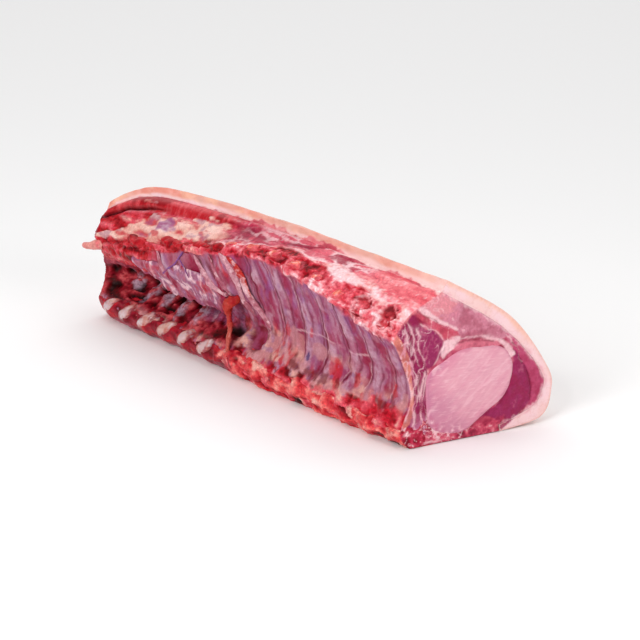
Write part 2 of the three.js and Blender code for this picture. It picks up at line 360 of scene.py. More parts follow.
def make_piece(name, points, faces, finish, tissue, wet=0.5, grit=1.0):
    """A closed mesh of the loin, painted at its points and smooth apart from its creases. Grit tells how
    torn the ground is: 0 for a smooth skin, 1 for open meat."""
    mesh = bpy.data.meshes.new(name)
    mesh.from_pydata(((points + SHIFT) * MM).tolist(), [], faces)
    mesh.materials.append(finish)
    colours = np.ones((len(points), 4), np.float32)
    colours[:, :3] = np.clip(tissue, 0, 1)
    layer = mesh.attributes.new("tissue", "FLOAT_COLOR", "POINT")
    layer.data.foreach_set("color", colours.ravel())
    for layer_name, amount in (("wet", wet), ("grit", grit)):
        layer = mesh.attributes.new(layer_name, "FLOAT", "POINT")
        amounts = np.broadcast_to(np.clip(amount, 0, 1), len(points)).astype(np.float32)
        layer.data.foreach_set("value", amounts)
    mesh.shade_smooth()
    mesh.set_sharp_from_angle(angle=CREASE_ANGLE)
    piece = bpy.data.objects.new(name, mesh)
    scene.collection.objects.link(piece)
    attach(piece, "root")
    return piece


class Wire:
    """An output of a material's nodes. Sums and products of wires add Math nodes."""

    def __init__(self, tree, socket=None):
        self.tree = tree
        self.socket = socket

    def feed(self, sockets, inputs):
        """Gives sockets, by their names or numbers, wires or plain values."""
        for key, value in inputs.items():
            if isinstance(value, Wire):
                self.tree.links.new(value.socket, sockets[key])
            else:
                sockets[key].default_value = value

    def node(self, kind, inputs=None, output=0, **settings):
        """Any node, from its type, the wires or values of its sockets, and its settings."""
        made = self.tree.nodes.new("ShaderNode" + kind)
        for setting, value in settings.items():
            setattr(made, setting, value)
        self.feed(made.inputs, inputs or {})
        return Wire(self.tree, made.outputs[output])

    def math(self, operation, *values):
        """One step of arithmetic with wires or numbers."""
        return self.node("Math", dict(enumerate(values)), operation=operation)

    def __add__(self, other):
        return self.math("ADD", self, other)

    def __sub__(self, other):
        return self.math("SUBTRACT", self, other)

    def __rsub__(self, other):
        return self.math("SUBTRACT", other, self)

    def __mul__(self, other):
        return self.math("MULTIPLY", self, other)

    __radd__ = __add__
    __rmul__ = __mul__

    def step(self, low, high):
        """A soft step from 0 at low to 1 at high."""
        span = {"Value": self, "From Min": low, "From Max": high}
        return self.node("MapRange", span, interpolation_type="SMOOTHSTEP")

    def mix(self, start, end, blend="MIX"):
        """Blends two colours with this wire as the share of the second."""
        return self.node("Mix", {0: self, 6: start, 7: end}, 2, data_type="RGBA", blend_type=blend)


def rgba(red, green, blue):
    """A colour for a material's socket."""
    return (*tone(red, green, blue), 1.0)


def new_finish(name):
    """A material, its empty wire to start from and its surface shader's sockets."""
    finish = bpy.data.materials.new(name)
    finish.use_nodes = True
    shader = finish.node_tree.nodes["Principled BSDF"]
    return finish, Wire(finish.node_tree), shader.inputs


def painted(start, layer_name, output="Fac"):
    """What make_piece has painted at a mesh's points."""
    return start.node("Attribute", output=output, attribute_name=layer_name)


def grain(start, scale, detail=3.0, stretch=(1, 1, 1), turn=(0, 0, 0)):
    """Noise from 0 to 1 over the loin. Scale counts its lumps to the metre."""
    spot = start.node("TexCoord", output="Object")
    spot = start.node("Mapping", {"Vector": spot, "Rotation": turn, "Scale": stretch})
    return start.node("TexNoise", {"Vector": spot, "Scale": scale, "Detail": detail})


def fat_finish():
    """Firm fat: a painted ground with faint clouding, painted shade in creases, a satin surface and a little
    light below it.
    """
    finish, start, sockets = new_finish("back_fat")
    cloud = grain(start, 70)
    fine = grain(start, 500, 4)
    fold = start.math("ABSOLUTE", grain(start, 55, 4, stretch=(0.45, 1, 1)) - 0.5)
    crease = fold.step(0.03, 0.0)
    pore = grain(start, 420, 1).step(0.68, 0.76)
    tinted = (cloud.step(0.45, 0.75) * 0.25).mix(painted(start, "tissue", "Color"), rgba(250, 218, 214))
    tinted = (fine.step(0.55, 0.75) * 0.25).mix(tinted, rgba(232, 158, 152))
    height = cloud * 0.6 + fine * 0.4 - crease * 0.35 - pore * 0.4
    start.feed(sockets, {
        # The folds' creases are darkened as painted shade; the pores are small darker marks of the fat's own
        "Base Color": (crease * 0.12 + pore * 0.2).mix(tinted, rgba(206, 120, 108)),
        "Roughness": 0.5 - painted(start, "wet") * 0.18 + cloud * 0.12,
        "Normal": start.node("Bump", {"Height": height, "Strength": 0.25, "Distance": 0.8 * MM}),
        "Subsurface Weight": 0.12,
        "Subsurface Radius": (1, 0.45, 0.35),
        "Subsurface Scale": 4 * MM,
        "Specular IOR Level": 0.3,
        "Coat Weight": 0.15,
        "Coat Roughness": 0.25,
    })
    return finish


RIND = tone(228, 166, 152)
RIND_FLUSHED = tone(230, 140, 124)
WHITE_FAT = tone(244, 200, 198)
PALE_FAT = tone(247, 206, 211)
PEACH = tone(244, 184, 156)
CUT_FAT_PINK = tone(232, 160, 172)
SAWN_MEAT = tone(226, 108, 120)
SAWN_MEAT_DARK = tone(186, 52, 76)
FOOT_MEAT = tone(160, 50, 90)


def meat_reach(points):
    """How far up the meat reaches over the sawn fat, in mm. It is negative where the fat runs down."""
    line = points * (1, 0, 0)
    uneven = 1.5 + 5 * noise(line, 34, seed=7) + 3 * noise(line, 10, seed=8)
    return uneven * smooth(-90, -40, points[..., 0])


u = np.linspace(0, 1, FAT_STATIONS)
rind_side = place(u, section(BACK, u, np.linspace(0, 1, RIND_SAMPLES)))
meat_side = place(u, under_fat(u, np.linspace(0, 1, MEAT_SAMPLES)))
lean_in = np.linspace(0, 1, SAWN_SAMPLES)[1:-1]
foot_edge = rind_side[:, -1:] + (meat_side[:, -1:] - rind_side[:, -1:]) * lean_in[:, None]
sawn_edge = meat_side[:, :1] + (rind_side[:, :1] - meat_side[:, :1]) * lean_in[:, None]
rings = np.concatenate([rind_side, foot_edge, meat_side[:, ::-1], sawn_edge], axis=1)
out = facing(rings)
through = np.concatenate([np.zeros(RIND_SAMPLES), lean_in, np.ones(MEAT_SAMPLES), 1 - lean_in])
on_rind = (through == 0).astype(float)
sawn = np.zeros(rings.shape[1])
sawn[-len(lean_in):] = 1
waves = noise(rings, (46, 30, 30), seed=1) * FAT_WAVE + noise(rings, (14, 9, 9), seed=2) * FAT_DIMPLE
knots = (1.1 * noise(rings, (16, 8, 8), seed=9) + 0.9) * sawn * smooth(1.0, 0.5, through)
lift = (waves * (on_rind + sawn) + knots) * between_ends(u, END_FADE)[:, None]
rings = rings + out * lift[..., None]
rings[..., 2] = np.maximum(rings[..., 2], 0)

fat_paint = plain(WHITE_FAT, rings)
reddened = 0.35 * hump(rings[..., 0], *RIND_FLUSH) + 0.5 * sawn * hump(rings[..., 0], *SAWN_FLUSH)
flush = smooth(-0.1, 0.6, noise(rings, (90, 40, 40), seed=3) + reddened)
rind_share = on_rind + sawn * smooth(0.8, 0.4, through + 0.1 * noise(rings, (30, 8, 8), seed=4))
rind_share = rind_share * (1 - 0.5 * smooth(170, 250, rings[..., 0]))
lay(fat_paint, RIND, rind_share)
lay(fat_paint, RIND_FLUSHED, rind_share * flush * (0.4 + 0.5 * sawn))
lay(fat_paint, PEACH, rind_share * patches(rings, (24, 14, 14), 12, 0.1, 0.6) * (0.7 * sawn + 0.2 * on_rind))
lay(fat_paint, PALE_FAT, sawn * patches(rings, (40, 5, 5), 5, 0.2, 0.7) * (1 - rind_share))
upwards = (1 - through) * FAT_THICKNESS[0] + 1.5 * noise(rings, 6, seed=13)
over_fat = sawn * smooth(1.0, -1.0, upwards - meat_reach(rings))
lay(fat_paint, SAWN_MEAT, over_fat * 0.9)
lay(fat_paint, SAWN_MEAT_DARK, over_fat * patches(rings, (14, 7, 7), 15, -0.1, 0.5) * 0.8)


def cut_fat_paint(spots, end):
    """The knife-cut fat of an end: white inside, flushed along the rind, with a peach band on the upper rind
    that is partly a painted highlight, pink along the meat, and with meat above its tapered tip."""
    line_share = np.linspace(0, 1, LINE_SAMPLES)
    lines = section(BACK, [end], line_share)[0], under_fat([end], line_share)[0]
    from_rind, from_meat = (
        np.min(np.linalg.norm(spots[:, None, 1:] - line[None], axis=-1), axis=1) for line in lines)
    paint = plain(PALE_FAT, spots)
    lay(paint, WHITE_FAT, patches(spots, 18, 6, -0.4, 0.6))
    along_rind = smooth(6, 1, from_rind + 2 * noise(spots, 12, seed=14))
    # Peach along the upper rind: partly the rind's colour, partly a painted highlight on the top of the fat
    lay(paint, PEACH, along_rind * smooth(70, 110, spots[:, 2]) * 0.75)
    lay(paint, RIND, smooth(2.5, 0.8, from_rind) * 0.5)
    lay(paint, CUT_FAT_PINK, smooth(3.5, 0.3, from_meat + 2.5 * noise(spots, 7, seed=16)) * 0.7)
    above_tip = spots[:, 2] - FOOT_TAPER * (spots[:, 1] - rail("fat_foot", end)[0])
    lay(paint, FOOT_MEAT, smooth(-0.8, 0.8, above_tip) * smooth(16, 10, spots[:, 2]))
    return paint


near_points, near_triangles = fill_ring(rings[-1], 1, FAT_CUT_SPACING)[1:]
far_points, far_triangles = fill_ring(rings[0], 0, FAT_FAR_SPACING)[1:]
points = np.concatenate([rings.reshape(-1, 3), near_points, far_points])
faces = capped_faces(rings, near_triangles, len(near_points), far_triangles)
tissue = np.concatenate([
    fat_paint.reshape(-1, 3), cut_fat_paint(near_points, 1), cut_fat_paint(far_points, 0)])
fat_cap = make_piece("back_fat", points, faces, fat_finish(), tissue, wet=0.4)
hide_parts("fat_cap")

# Lean: the red meat round the loin eye, with the rib wall on one side, the sawn top strip and both cut ends.
# The wall is muscle under a thin lilac skin that the ribs press against; the lumbar end overhangs a hollow.
GAP = 0.35
TUCK = 0.5
LEAN_STATIONS = 400
WALL_SAMPLES = 108
STRIP_SAMPLES = 62
HIDDEN_SAMPLES = 16
FLOOR_SAMPLES = 6
EYE_SAMPLES = 160
CUT_SPACING = 0.95
FAR_SPACING = 1.3
STRIP_WIDTH = 50
FRAY = 5
# The eye muscle's middle as [y, z] at the five stations
EYE_CENTRE = [[2, 50], [4, 54], [3, 56], [-4, 56], [-11, 52]]
FAR_EYE_SCALE = 1.5
EYE_OVERLAP = 3
FAR_EYE_OVERLAP = 4
CUT_ROUNDING = 1.2
CUT_WET = 0.5
CUT_GRIT = 0.15
EDGE_WAVE = 3.5
EDGE_REACH = 7
EDGE_SAMPLES = 14
LEAN_END_FADE = 0.012
CREST_OCTAVES = 4
BUNDLE_WARP = 0.8
RIB_COUNT = 8
RIB_PITCH = 35
FIRST_RIB_X = 231
RIB_SLANT = 0.09
RIB_SINK = 8.5
RIB_HALF_WIDTH = 8
RIB_HALF_DEPTH = 5
OPEN_ENDS = 2
RIB_WALL_END = (7.15, 6.7)
# The vessel beside each rib bows: it runs furthest from the lumbar end at this height
VESSEL_X = 226
VESSEL_BOW = 0.004
BOW_HEIGHT = 82
# Heights and depths of the relief
RIB_RELIEF = 1.1
GROOVE_DEPTH = 0.4
SKIN_RELIEF = 0.8
LOW_RELIEF = 1.2
CRAG_RELIEF = 2.2
FOLD_RELIEF = 2.4
DRIFT_RELIEF = 2.5
TEAR_RELIEF = 2.2
HOLLOW_RELIEF = 3.5
BAR_HEIGHT = 2.5
POCKET_DEPTH = 2.5
BAND_HEIGHT = 2.0
SPONGE_RELIEF = 2.4
HOLE_DEPTH = 1.5
KNOB_HEIGHT = 1.8
BUNDLE_HEIGHT = 1.4
CREVICE_DEPTH = 5
# Places along the wall as [x, z]: beige spots with their half sizes, spots of blood, a bruise, a line of
# sheath across the ribs, bones at the back of the hollow, and a pocket at its end, which is painted dark as
# painted shadow
BEIGE_SPOTS = [((69, 64), (9, 11)), ((106, 60), (11, 11)), ((182, 34), (12, 9)), ((236, 46), (5, 11))]
BLOOD_SPOTS = [(97, 79), (134, 56), (222, 51), (168, 50), (54, 70)]
BLOOD_HALF = (3.5, 8)
BRUISE_SPOT = (90, 50)
BRUISE_HALF = (2.2, 4)
CROSSING = [[54, 70], [86, 77], [119, 79], [155, 76], [177, 78], [195, 82]]
HOLLOW_BARS = [(-240, 50), (-207, 47), (-176, 42), (-139, 44), (-104, 42)]
BAR_HALF = (7, 12)
POCKET_SPOT = (2, 46)
POCKET_HALF = (13, 9)
# Bands of the strip: how wide a share of it they take at places along the loin
BAND_X = [-280, -70, -15, 50, 115, 195, 240]
SPONGE_EDGE = [0.25, 0.3, 0.42, 0.62, 0.58, 0.42, 0.34]
STREAK_WIDTH = [0.1, 0.2, 0.05, 0.04, 0.13, 0.24, 0.26]
SOFT_FAT_X = [-270, -225, -180, -140, -100, -50]
SOFT_FAT_LINE = [0.24, 0.46, 0.56, 0.54, 0.6, 0.6]
SOFT_FAT_REACH_X = [-268, -240, -180, -120, -60, -40]
SOFT_FAT_REACH = [0.05, 0.2, 0.25, 0.25, 0.04, 0.0]
# Spots of the strip: the middle and width along the loin, then those across the strip as shares of it
STRIP_BRUISE = ((8, 50), (0.68, 0.12))
STRIP_SMUDGE = ((-168, 24), (0.62, 0.12))
MAUVE = tone(148, 62, 96)
ROSE = tone(172, 86, 114)
LILAC = tone(152, 92, 126)
PALE_LILAC = tone(190, 146, 164)
BONE_LILAC = tone(186, 156, 174)
CRIMSON = tone(144, 28, 62)
DARK_LINE = tone(104, 12, 40)
BLOOD = tone(190, 34, 44)
CORAL = tone(218, 84, 98)
BRIGHT_RED = tone(188, 26, 44)
CREAM = tone(228, 172, 158)
BEIGE = tone(206, 142, 140)
# Dark red: the meat's own colour in patches, and painted shade in the pits of the ramps below
DEEP = tone(104, 6, 20)
# Near black, painted as shadow in the hollow, in the strip's crevice and in the pits of the sawn bone
SHADOW_BLACK = tone(40, 2, 6)
FASCIA = tone(246, 208, 212)
PINK_MUSCLE = tone(234, 120, 126)
RED_MUSCLE = tone(196, 56, 70)
FAR_MUSCLE = tone(184, 32, 40)
PURPLE = tone(128, 78, 142)
BRUISE_BLUE = tone(70, 52, 100)
BRUISE_LILAC = tone(132, 100, 146)
BRUISE_RED = tone(164, 40, 78)
SOFT_FAT_BLOOD = tone(196, 66, 74)
FAT_WHITE = tone(244, 200, 206)
SEAM_DARK = tone(120, 20, 48)
STRIP_GLOW = tone(232, 130, 134)
MUSCLE_PINK = tone(214, 120, 144)
SALMON = tone(240, 150, 152)
STRAND_PINK = tone(226, 150, 168)
# Colours that follow the relief of a tissue, from its pits to its crests. Where a ramp runs with the lumps of
# the relief, its dark pits are painted shade and its pale crests painted highlight, over the tissue's own
# colour.
CRAGS = [(-0.7, DEEP), (-0.2, BRIGHT_RED), (0.35, CORAL), (0.9, CREAM)]
OVERHANG_SKIN = [(-0.8, CRIMSON), (-0.2, tone(172, 96, 116)), (0.4, LILAC), (0.8, PALE_LILAC)]
OVERHANG_MEAT = [(-0.5, DEEP), (0.1, FAR_MUSCLE), (0.8, CORAL), (1.2, CREAM)]
GASHES = [(-0.3, DEEP), (0.3, CRIMSON), (0.8, BLOOD)]
HOLLOW = [(-0.5, SHADOW_BLACK), (-0.1, DEEP), (0.25, tone(150, 30, 46)), (0.7, tone(204, 86, 90))]
HOLLOW_WEB = [(-0.6, DEEP), (0.0, MAUVE), (0.6, LILAC), (1.0, PALE_LILAC)]
POCKET = [(-0.4, DEEP), (0.2, tone(116, 24, 50)), (0.7, MAUVE)]
STRIP_FAR = [(-0.6, CRIMSON), (0.1, tone(184, 48, 78)), (0.7, tone(214, 92, 112)), (1.6, FASCIA)]
STRIP_NEAR = [(-0.9, RED_MUSCLE), (-0.2, tone(226, 98, 114)), (0.5, tone(236, 134, 146)), (1.2, FASCIA)]
STRIP_CLEAR = [(-1.2, RED_MUSCLE), (-0.3, tone(222, 92, 104)), (0.5, tone(236, 128, 134)), (1.4, FASCIA)]
BUNDLES = [(-0.9, tone(140, 22, 56)), (0.0, tone(182, 44, 72)), (0.8, tone(216, 94, 110))]
SPONGE = [(-0.9, DEEP), (-0.4, BRIGHT_RED), (0.1, CORAL), (0.6, tone(234, 134, 142)), (1.0, FASCIA)]
FAT_STREAK = [(-0.8, CORAL), (-0.2, tone(238, 170, 168)), (0.5, FASCIA)]
RIB_BRIM = [(-0.6, CORAL), (0.0, FASCIA)]
RIB_HOLE = [(-0.8, DEEP), (-0.1, BRIGHT_RED), (0.7, CORAL)]
SCRAP_MEAT = [(-0.6, DEEP), (0.05, BLOOD), (0.6, CORAL), (1.1, CREAM)]
SOFT_FAT = [(-0.9, tone(206, 84, 88)), (-0.3, CREAM), (0.8, tone(244, 204, 194))]
CUT_GROUND = [(-0.7, CRIMSON), (0.0, tone(184, 70, 98)), (0.8, tone(216, 122, 140))]
FLOOR_MEAT = [(-0.7, SEAM_DARK), (0.0, tone(178, 50, 80)), (0.6, tone(214, 90, 112)), (1.3, FASCIA)]


def bundle_cells(points, size, seed):
    """Bundles of fibres as wide as size: how near a point is to its bundle's border, and the bundle's own
    random number from -1 to 1."""
    size = np.asarray(size, float)
    shifts = [noise(points, size * 1.6, seed=seed + 200 + axis) for axis in range(3)]
    spot = points / size + 5.7 * seed + BUNDLE_WARP * np.stack(shifts, axis=-1)
    base = np.floor(spot).astype(int)
    nearest = np.full(points.shape[:-1], np.inf)
    second = nearest.copy()
    number = np.zeros(points.shape[:-1])
    for corner in np.ndindex(3, 3, 3):
        cell = base + corner - 1
        i, j, k = np.moveaxis(cell % len(LATTICE), -1, 0)
        jitter = at(LATTICE[i, j, k], LATTICE[j, k, i], LATTICE[k, i, j]) * 0.45
        gap = np.linalg.norm(spot - cell - 0.5 - jitter, axis=-1)
        second = np.minimum(second, np.maximum(gap, nearest))
        number = np.where(gap < nearest, LATTICE[i, k, j], number)
        nearest = np.minimum(nearest, gap)
    return second - nearest, number


def crest(points, size, seed):
    """Torn ground from about -1 to 1: sharp crests between rounded pits, the largest as wide as size."""
    size = np.asarray(size, float)
    total = np.zeros(points.shape[:-1])
    for octave in range(CREST_OCTAVES):
        ridge = 0.7 - 2 * np.abs(noise(points, size / 2**octave, seed=seed + 31 * octave, octaves=1))
        total += ridge / 2**octave
    return 0.75 * total


def ramp(value, stops):
    """Colours that follow a value: each stop is a value with its colour."""
    levels, shades = zip(*stops)
    return np.stack([np.interp(value, levels, band) for band in np.transpose(shades)], axis=-1)


def thread(points, size, seed, fine):
    """Thin wandering lines, 1 on each line and 0 beside it."""
    return smooth(fine, 0.3 * fine, np.abs(noise(points, size, seed=seed, octaves=2)))


def reach(path, flat):
    """How far flat points lie from a smooth line through the points of a path."""
    line = spline(path, np.linspace(0, 1, 6 * len(path)))
    nearest = np.full(flat.shape[:-1], np.inf)
    for start, end in zip(line[:-1], line[1:]):
        edge = end - start
        away = flat - start
        share = np.clip(away @ edge / (edge @ edge), 0, 1)
        nearest = np.minimum(nearest, np.linalg.norm(away - share[..., None] * edge, axis=-1))
    return nearest


def oval(flat, middle, half, ragged):
    """A soft oval spot: 1 inside and 0 outside, with its border pushed about by ragged."""
    return smooth(1.2, 0.7, np.linalg.norm((flat - np.asarray(middle)) / half, axis=-1) + ragged)


def paint_rib_skin(spots, along, lumps):
    """Colour and relief of the skin over the ribs, its streaks, and a count of ribs that is whole at the
    vessel beside each. The ribs show pale through the skin and the muscle between them dark."""
    drift, blotch, speck = lumps
    z = spots[..., 2]
    patchy = noise(spots, (30, 30, 24), seed=23)
    wandering = along + 2.5 * drift + 1.2 * blotch
    turn = (VESSEL_X - wandering - VESSEL_BOW * (z - BOW_HEIGHT) ** 2) / RIB_PITCH
    rib = np.round(turn)
    off = turn - rib
    streak = noise(at(turn * RIB_PITCH, 0, 0.16 * z), 6, seed=21, octaves=2)
    own = noise(at(rib * 11.3, 0, 0), 9, seed=19, octaves=1)
    high = smooth(55, 115, z)
    bar = smooth(-0.47, -0.36, off) * smooth(-0.05, -0.15, off)
    gully = smooth(0.05, 0.13, off) * smooth(0.5, 0.40, off)
    vessel = hump(off, 0, 0.045) * smooth(-0.5, 0.1, patchy + 0.5)
    branch = hump(off, 0.17 + 0.05 * own, 0.034) * smooth(-0.2, 0.3, patchy + 0.4 * own)
    far_line = hump(off, -0.46, 0.036) * smooth(-0.1, 0.4, 0.2 - patchy - 0.3 * own)

    paint = plain(MAUVE, spots)
    lay(paint, LILAC, smooth(-0.4, 0.5, drift + 0.5 * blotch + 0.7 * high - 0.3) * 0.8)
    lay(paint, CRIMSON, smooth(75, 15, along + 20 * drift) * smooth(-0.4, 0.4, patchy + 0.5 * streak) * 0.6)
    lay(paint, CRIMSON, gully * smooth(-0.3, 0.4, streak + 0.5 * own + 0.4 * blotch) * (0.95 - 0.3 * high))
    lay(paint, PALE_LILAC, bar * smooth(-0.5, 0.5, blotch + 0.4 * streak) * 0.85)
    lay(paint, ROSE, patches(spots, (12, 12, 30), 34, 0.05, 0.5) * 0.5)
    lay(paint, CRIMSON, smooth(0.25, 0.7, streak + 0.3 * speck) * 0.6)
    lay(paint, PALE_LILAC, smooth(0.2, 0.6, -streak + 0.3 * speck) * 0.4)
    lay(paint, PURPLE, patches(spots, (9, 9, 16), 35, 0.15, 0.6) * high * 0.4)
    lay(paint, CRIMSON, patches(spots, (5, 5, 10), 76, 0.3, 0.6) * 0.35)
    lay(paint, PALE_LILAC, patches(spots, (6, 6, 14), 77, 0.3, 0.65) * 0.3)
    lay(paint, FASCIA, hump(off, -0.075, 0.018) * smooth(0.0, 0.6, patchy + 0.4 * blotch) * 0.6)
    lay(paint, FASCIA, hump(off, 0.07, 0.016) * smooth(0.0, 0.6, 0.1 - patchy + 0.4 * blotch) * 0.5)
    groove = np.maximum(vessel, np.maximum(0.7 * branch, 0.6 * far_line)) * smooth(24, 50, z)
    lay(paint, DARK_LINE, groove)
    swell = np.cos(2 * math.pi * (off + 0.25))
    height = RIB_RELIEF * swell - GROOVE_DEPTH * groove + 0.2 * streak + SKIN_RELIEF * blotch
    return paint, height, streak, turn


def paint_low_wall(paint, spots, flat, ribs, streak, lumps):
    """Paints the low part of the wall, where the skin thins over bone, fat and blood. It gives how low a
    point lies, the torn ground at the wall's foot and where that shows."""
    drift, blotch, speck = lumps
    z = spots[..., 2]
    low = smooth(66, 40, z + 14 * drift)
    lay(paint, BEIGE, low * patches(spots, (28, 28, 18), 25, -0.2, 0.3) * 0.7)
    lay(paint, CREAM, low * patches(spots, (19, 19, 12), 36, 0.1, 0.5) * 0.7)
    lay(paint, BLOOD, low * patches(spots, (10, 10, 26), 17, 0.15, 0.45) * 0.75)
    for middle, half in BEIGE_SPOTS:
        lay(paint, BEIGE, ribs * oval(flat, middle, half, 0.9 * blotch) * 0.5)
    for middle in BLOOD_SPOTS:
        lay(paint, BLOOD, ribs * oval(flat, middle, BLOOD_HALF, 0.9 * speck + 0.4 * blotch) * 0.65)
    lay(paint, BRUISE_BLUE, oval(flat, BRUISE_SPOT, BRUISE_HALF, 0.5 * speck) * 0.8)
    lay(paint, BRUISE_LILAC, low * patches(spots, 6, 37, 0.4, 0.65) * 0.45)
    lay(paint, DEEP, low * patches(spots, (8, 8, 14), 78, 0.25, 0.6) * 0.7)
    crags = crest(spots, (20, 16, 14), seed=16)
    craggy = ribs * smooth(36, 30, z + 9 * blotch + 3 * crags)
    # The crags' colour follows their relief: painted shade in the pits, painted highlight on the crests
    lay(paint, ramp(crags + 0.5 * drift, CRAGS), craggy)
    crossing = smooth(1.5, 0.3, reach(CROSSING, flat))
    lay(paint, FASCIA, crossing * smooth(-0.6, 0.4, streak + blotch) * 0.4)
    return low, crags, craggy


def paint_overhang(paint, spots, flat, share, lumbar, lumps):
    """Paints the overhang at the lumbar end, torn folded skin over meat, and the hollow below it. The folds
    and the torn meat have painted shade in their pits and painted highlight on their crests; the hollow is
    painted dark red to near black and its pocket dark, partly as painted shadow. It gives their relief, where
    the ground is torn and where it is deep."""
    drift, blotch, speck = lumps
    along, z = np.moveaxis(flat, -1, 0)
    slanted = at(along + 0.55 * z, 0, 0.35 * z)
    face = lumbar * smooth(0.60, 0.70, share)
    fold = crest(slanted, 13, seed=27)
    # Painted shade in the folds' troughs and painted highlight on their crests, following the relief
    lay(paint, ramp(fold + 0.4 * drift, OVERHANG_SKIN), face)
    gash = face * smooth(-75, -50, along) * smooth(0.0, 0.5, crest(slanted, 17, seed=38) + 0.3 * blotch - 0.1)
    lay(paint, ramp(noise(slanted, 8, seed=39), GASHES), gash * 0.9)
    meaty = face * smooth(-148, -178, along + 14 * drift + 8 * blotch)
    tear = crest(spots, (15, 12, 12), seed=28)
    # The torn meat's colour follows its relief: painted shade in the pits, painted highlight on the crests
    lay(paint, ramp(tear + 0.4 * blotch, OVERHANG_MEAT), meaty)

    hollow = lumbar * smooth(0.68, 0.58, share) * smooth(0.27, 0.33, share)
    depth = crest(spots, (18, 14, 14), seed=29)
    # The hollow is painted dark red to near black: partly its meat, partly painted shadow under the overhang
    lay(paint, ramp(depth + 0.4 * blotch, HOLLOW), hollow)
    bars = np.max([oval(flat, middle, BAR_HALF, 0.7 * blotch) for middle in HOLLOW_BARS], axis=0)
    lay(paint, BONE_LILAC, hollow * bars * smooth(-0.6, 0.2, speck) * 0.85)
    web = hollow * smooth(-125, -85, along + 12 * drift) * smooth(0.36, 0.5, share + 0.1 * blotch)
    lay(paint, ramp(crest(slanted, 10, seed=57) + 0.4 * speck, HOLLOW_WEB), web * 0.85)
    pocket = oval(flat, POCKET_SPOT, POCKET_HALF, 0.9 * blotch)
    # The pocket is painted dark where it sinks into the wall: painted shadow
    lay(paint, ramp(depth, POCKET), pocket * 0.85)

    height = face * (FOLD_RELIEF * fold + DRIFT_RELIEF * drift) + meaty * TEAR_RELIEF * tear
    height *= smooth(1.0, 0.95, share)
    height += hollow * (HOLLOW_RELIEF * depth + BAR_HEIGHT * bars) - POCKET_DEPTH * pocket
    return height, np.maximum(meaty, hollow), np.maximum(hollow, pocket)


def paint_wall(spots, along, share):
    """Relief, colour, wetness and grit of the rib wall and of the hollow at its lumbar end."""
    flat = at(along, spots[..., 2])
    drift = noise(spots, 34, seed=20)
    blotch = noise(spots, (13, 13, 11), seed=24)
    lumps = drift, blotch, noise(spots, 5, seed=33)
    paint, rib_height, streak, turn = paint_rib_skin(spots, along, lumps)
    ribs = smooth(*RIB_WALL_END, turn + 0.1 * drift)
    lumbar = 1 - ribs
    low, crags, craggy = paint_low_wall(paint, spots, flat, ribs, streak, lumps)
    overhang_height, torn, deep = paint_overhang(paint, spots, flat, share, lumbar, lumps)
    height = ribs * smooth(0.30, 0.38, share) * smooth(1.0, 0.96, share) * rib_height
    height += ribs * low * LOW_RELIEF * blotch * smooth(0.28, 0.38, share)
    height += overhang_height + CRAG_RELIEF * craggy * crags
    wet = (0.7 + 0.2 * lumbar) * (1 - 0.75 * deep)
    return height, paint, wet, 0.2 + 0.8 * np.maximum(craggy, torn)


def strip_spot(along, share, spot):
    """A soft spot of the strip."""
    return hump(along, *spot[0]) * hump(share, *spot[1])


def paint_bands(spots, along, share, lumps):
    """Paints the strip's bands: spongy bone and torn meat at the rib ends, a streak of fat, then the back
    muscle. It also gives where the sponge and the fat lie, and the swelling of the muscle's bundles."""
    flow, broad, fine, torn = lumps
    near = smooth(-30, 130, along)
    ragged = share + 0.09 * broad + 0.07 * flow + 0.06 * torn - np.interp(along, BAND_X, SPONGE_EDGE)
    sponge = smooth(0.03, -0.03, ragged)
    streak = (1 - sponge) * smooth(0.02, -0.04, ragged - np.interp(along, BAND_X, STREAK_WIDTH))
    mottle = flow + 0.7 * fine + 0.4 * broad
    paint = ramp(mottle, STRIP_FAR)
    lay(paint, ramp(mottle, STRIP_NEAR), near)
    clear = smooth(120, 170, along + 20 * broad) * smooth(0.55, 0.68, share + 0.05 * broad)
    lay(paint, ramp(mottle - 0.45 * fine, STRIP_CLEAR), clear)
    bruise = strip_spot(along, share, STRIP_BRUISE)
    lay(paint, BRUISE_RED, bruise * smooth(-0.5, 0.3, broad + 0.5 * fine) * 0.8)
    pale_threads = thread(spots * (0.25, 1, 1), 8, seed=54, fine=0.07)
    lay(paint, FASCIA, pale_threads * smooth(-0.3, 0.3, broad) * (0.25 + 0.25 * near))
    dark_threads = thread(spots * (0.3, 1, 1), 6, seed=55, fine=0.1)
    lay(paint, CRIMSON, dark_threads * smooth(0.3, -0.3, broad) * 0.5)

    border, number = bundle_cells(spots, (32, 13, 13), seed=60)
    bundled = smooth(0.40, 0.50, share + 0.06 * broad) * smooth(-75, -25, along)
    bundled *= smooth(175, 125, along + 15 * broad)
    lay(paint, ramp(number + 0.5 * flow, BUNDLES), bundled * 0.75)
    fatty = noise(spots, (34, 12, 12), seed=99)
    fat_lines = smooth(0.22, 0.06, border + 0.12 * fine - 0.2 * fatty) * smooth(-0.5, 0.2, fatty)
    lay(paint, FASCIA, bundled * fat_lines * (0.45 + 0.45 * near))

    # The sponge's colour follows its torn relief: painted shade in its pits, painted highlight on its crests
    lay(paint, ramp(torn + 0.6 * broad + 0.5 * fine - 0.5 * (1 - near), SPONGE), sponge)
    white = streak * smooth(-0.6, -0.1, broad + 0.5 * flow + 0.3 * torn + 0.4 * near)
    lay(paint, ramp(torn + 0.5 * fine + 0.3 * flow, FAT_STREAK), white * 0.95)
    from_fat = (1 - share) * STRIP_WIDTH + 1.5 * flow
    lay(paint, WHITE_FAT, smooth(1.0, -1.0, from_fat + meat_reach(spots)))
    return paint, sponge, white, bundled * smooth(0.05, 0.5, border)


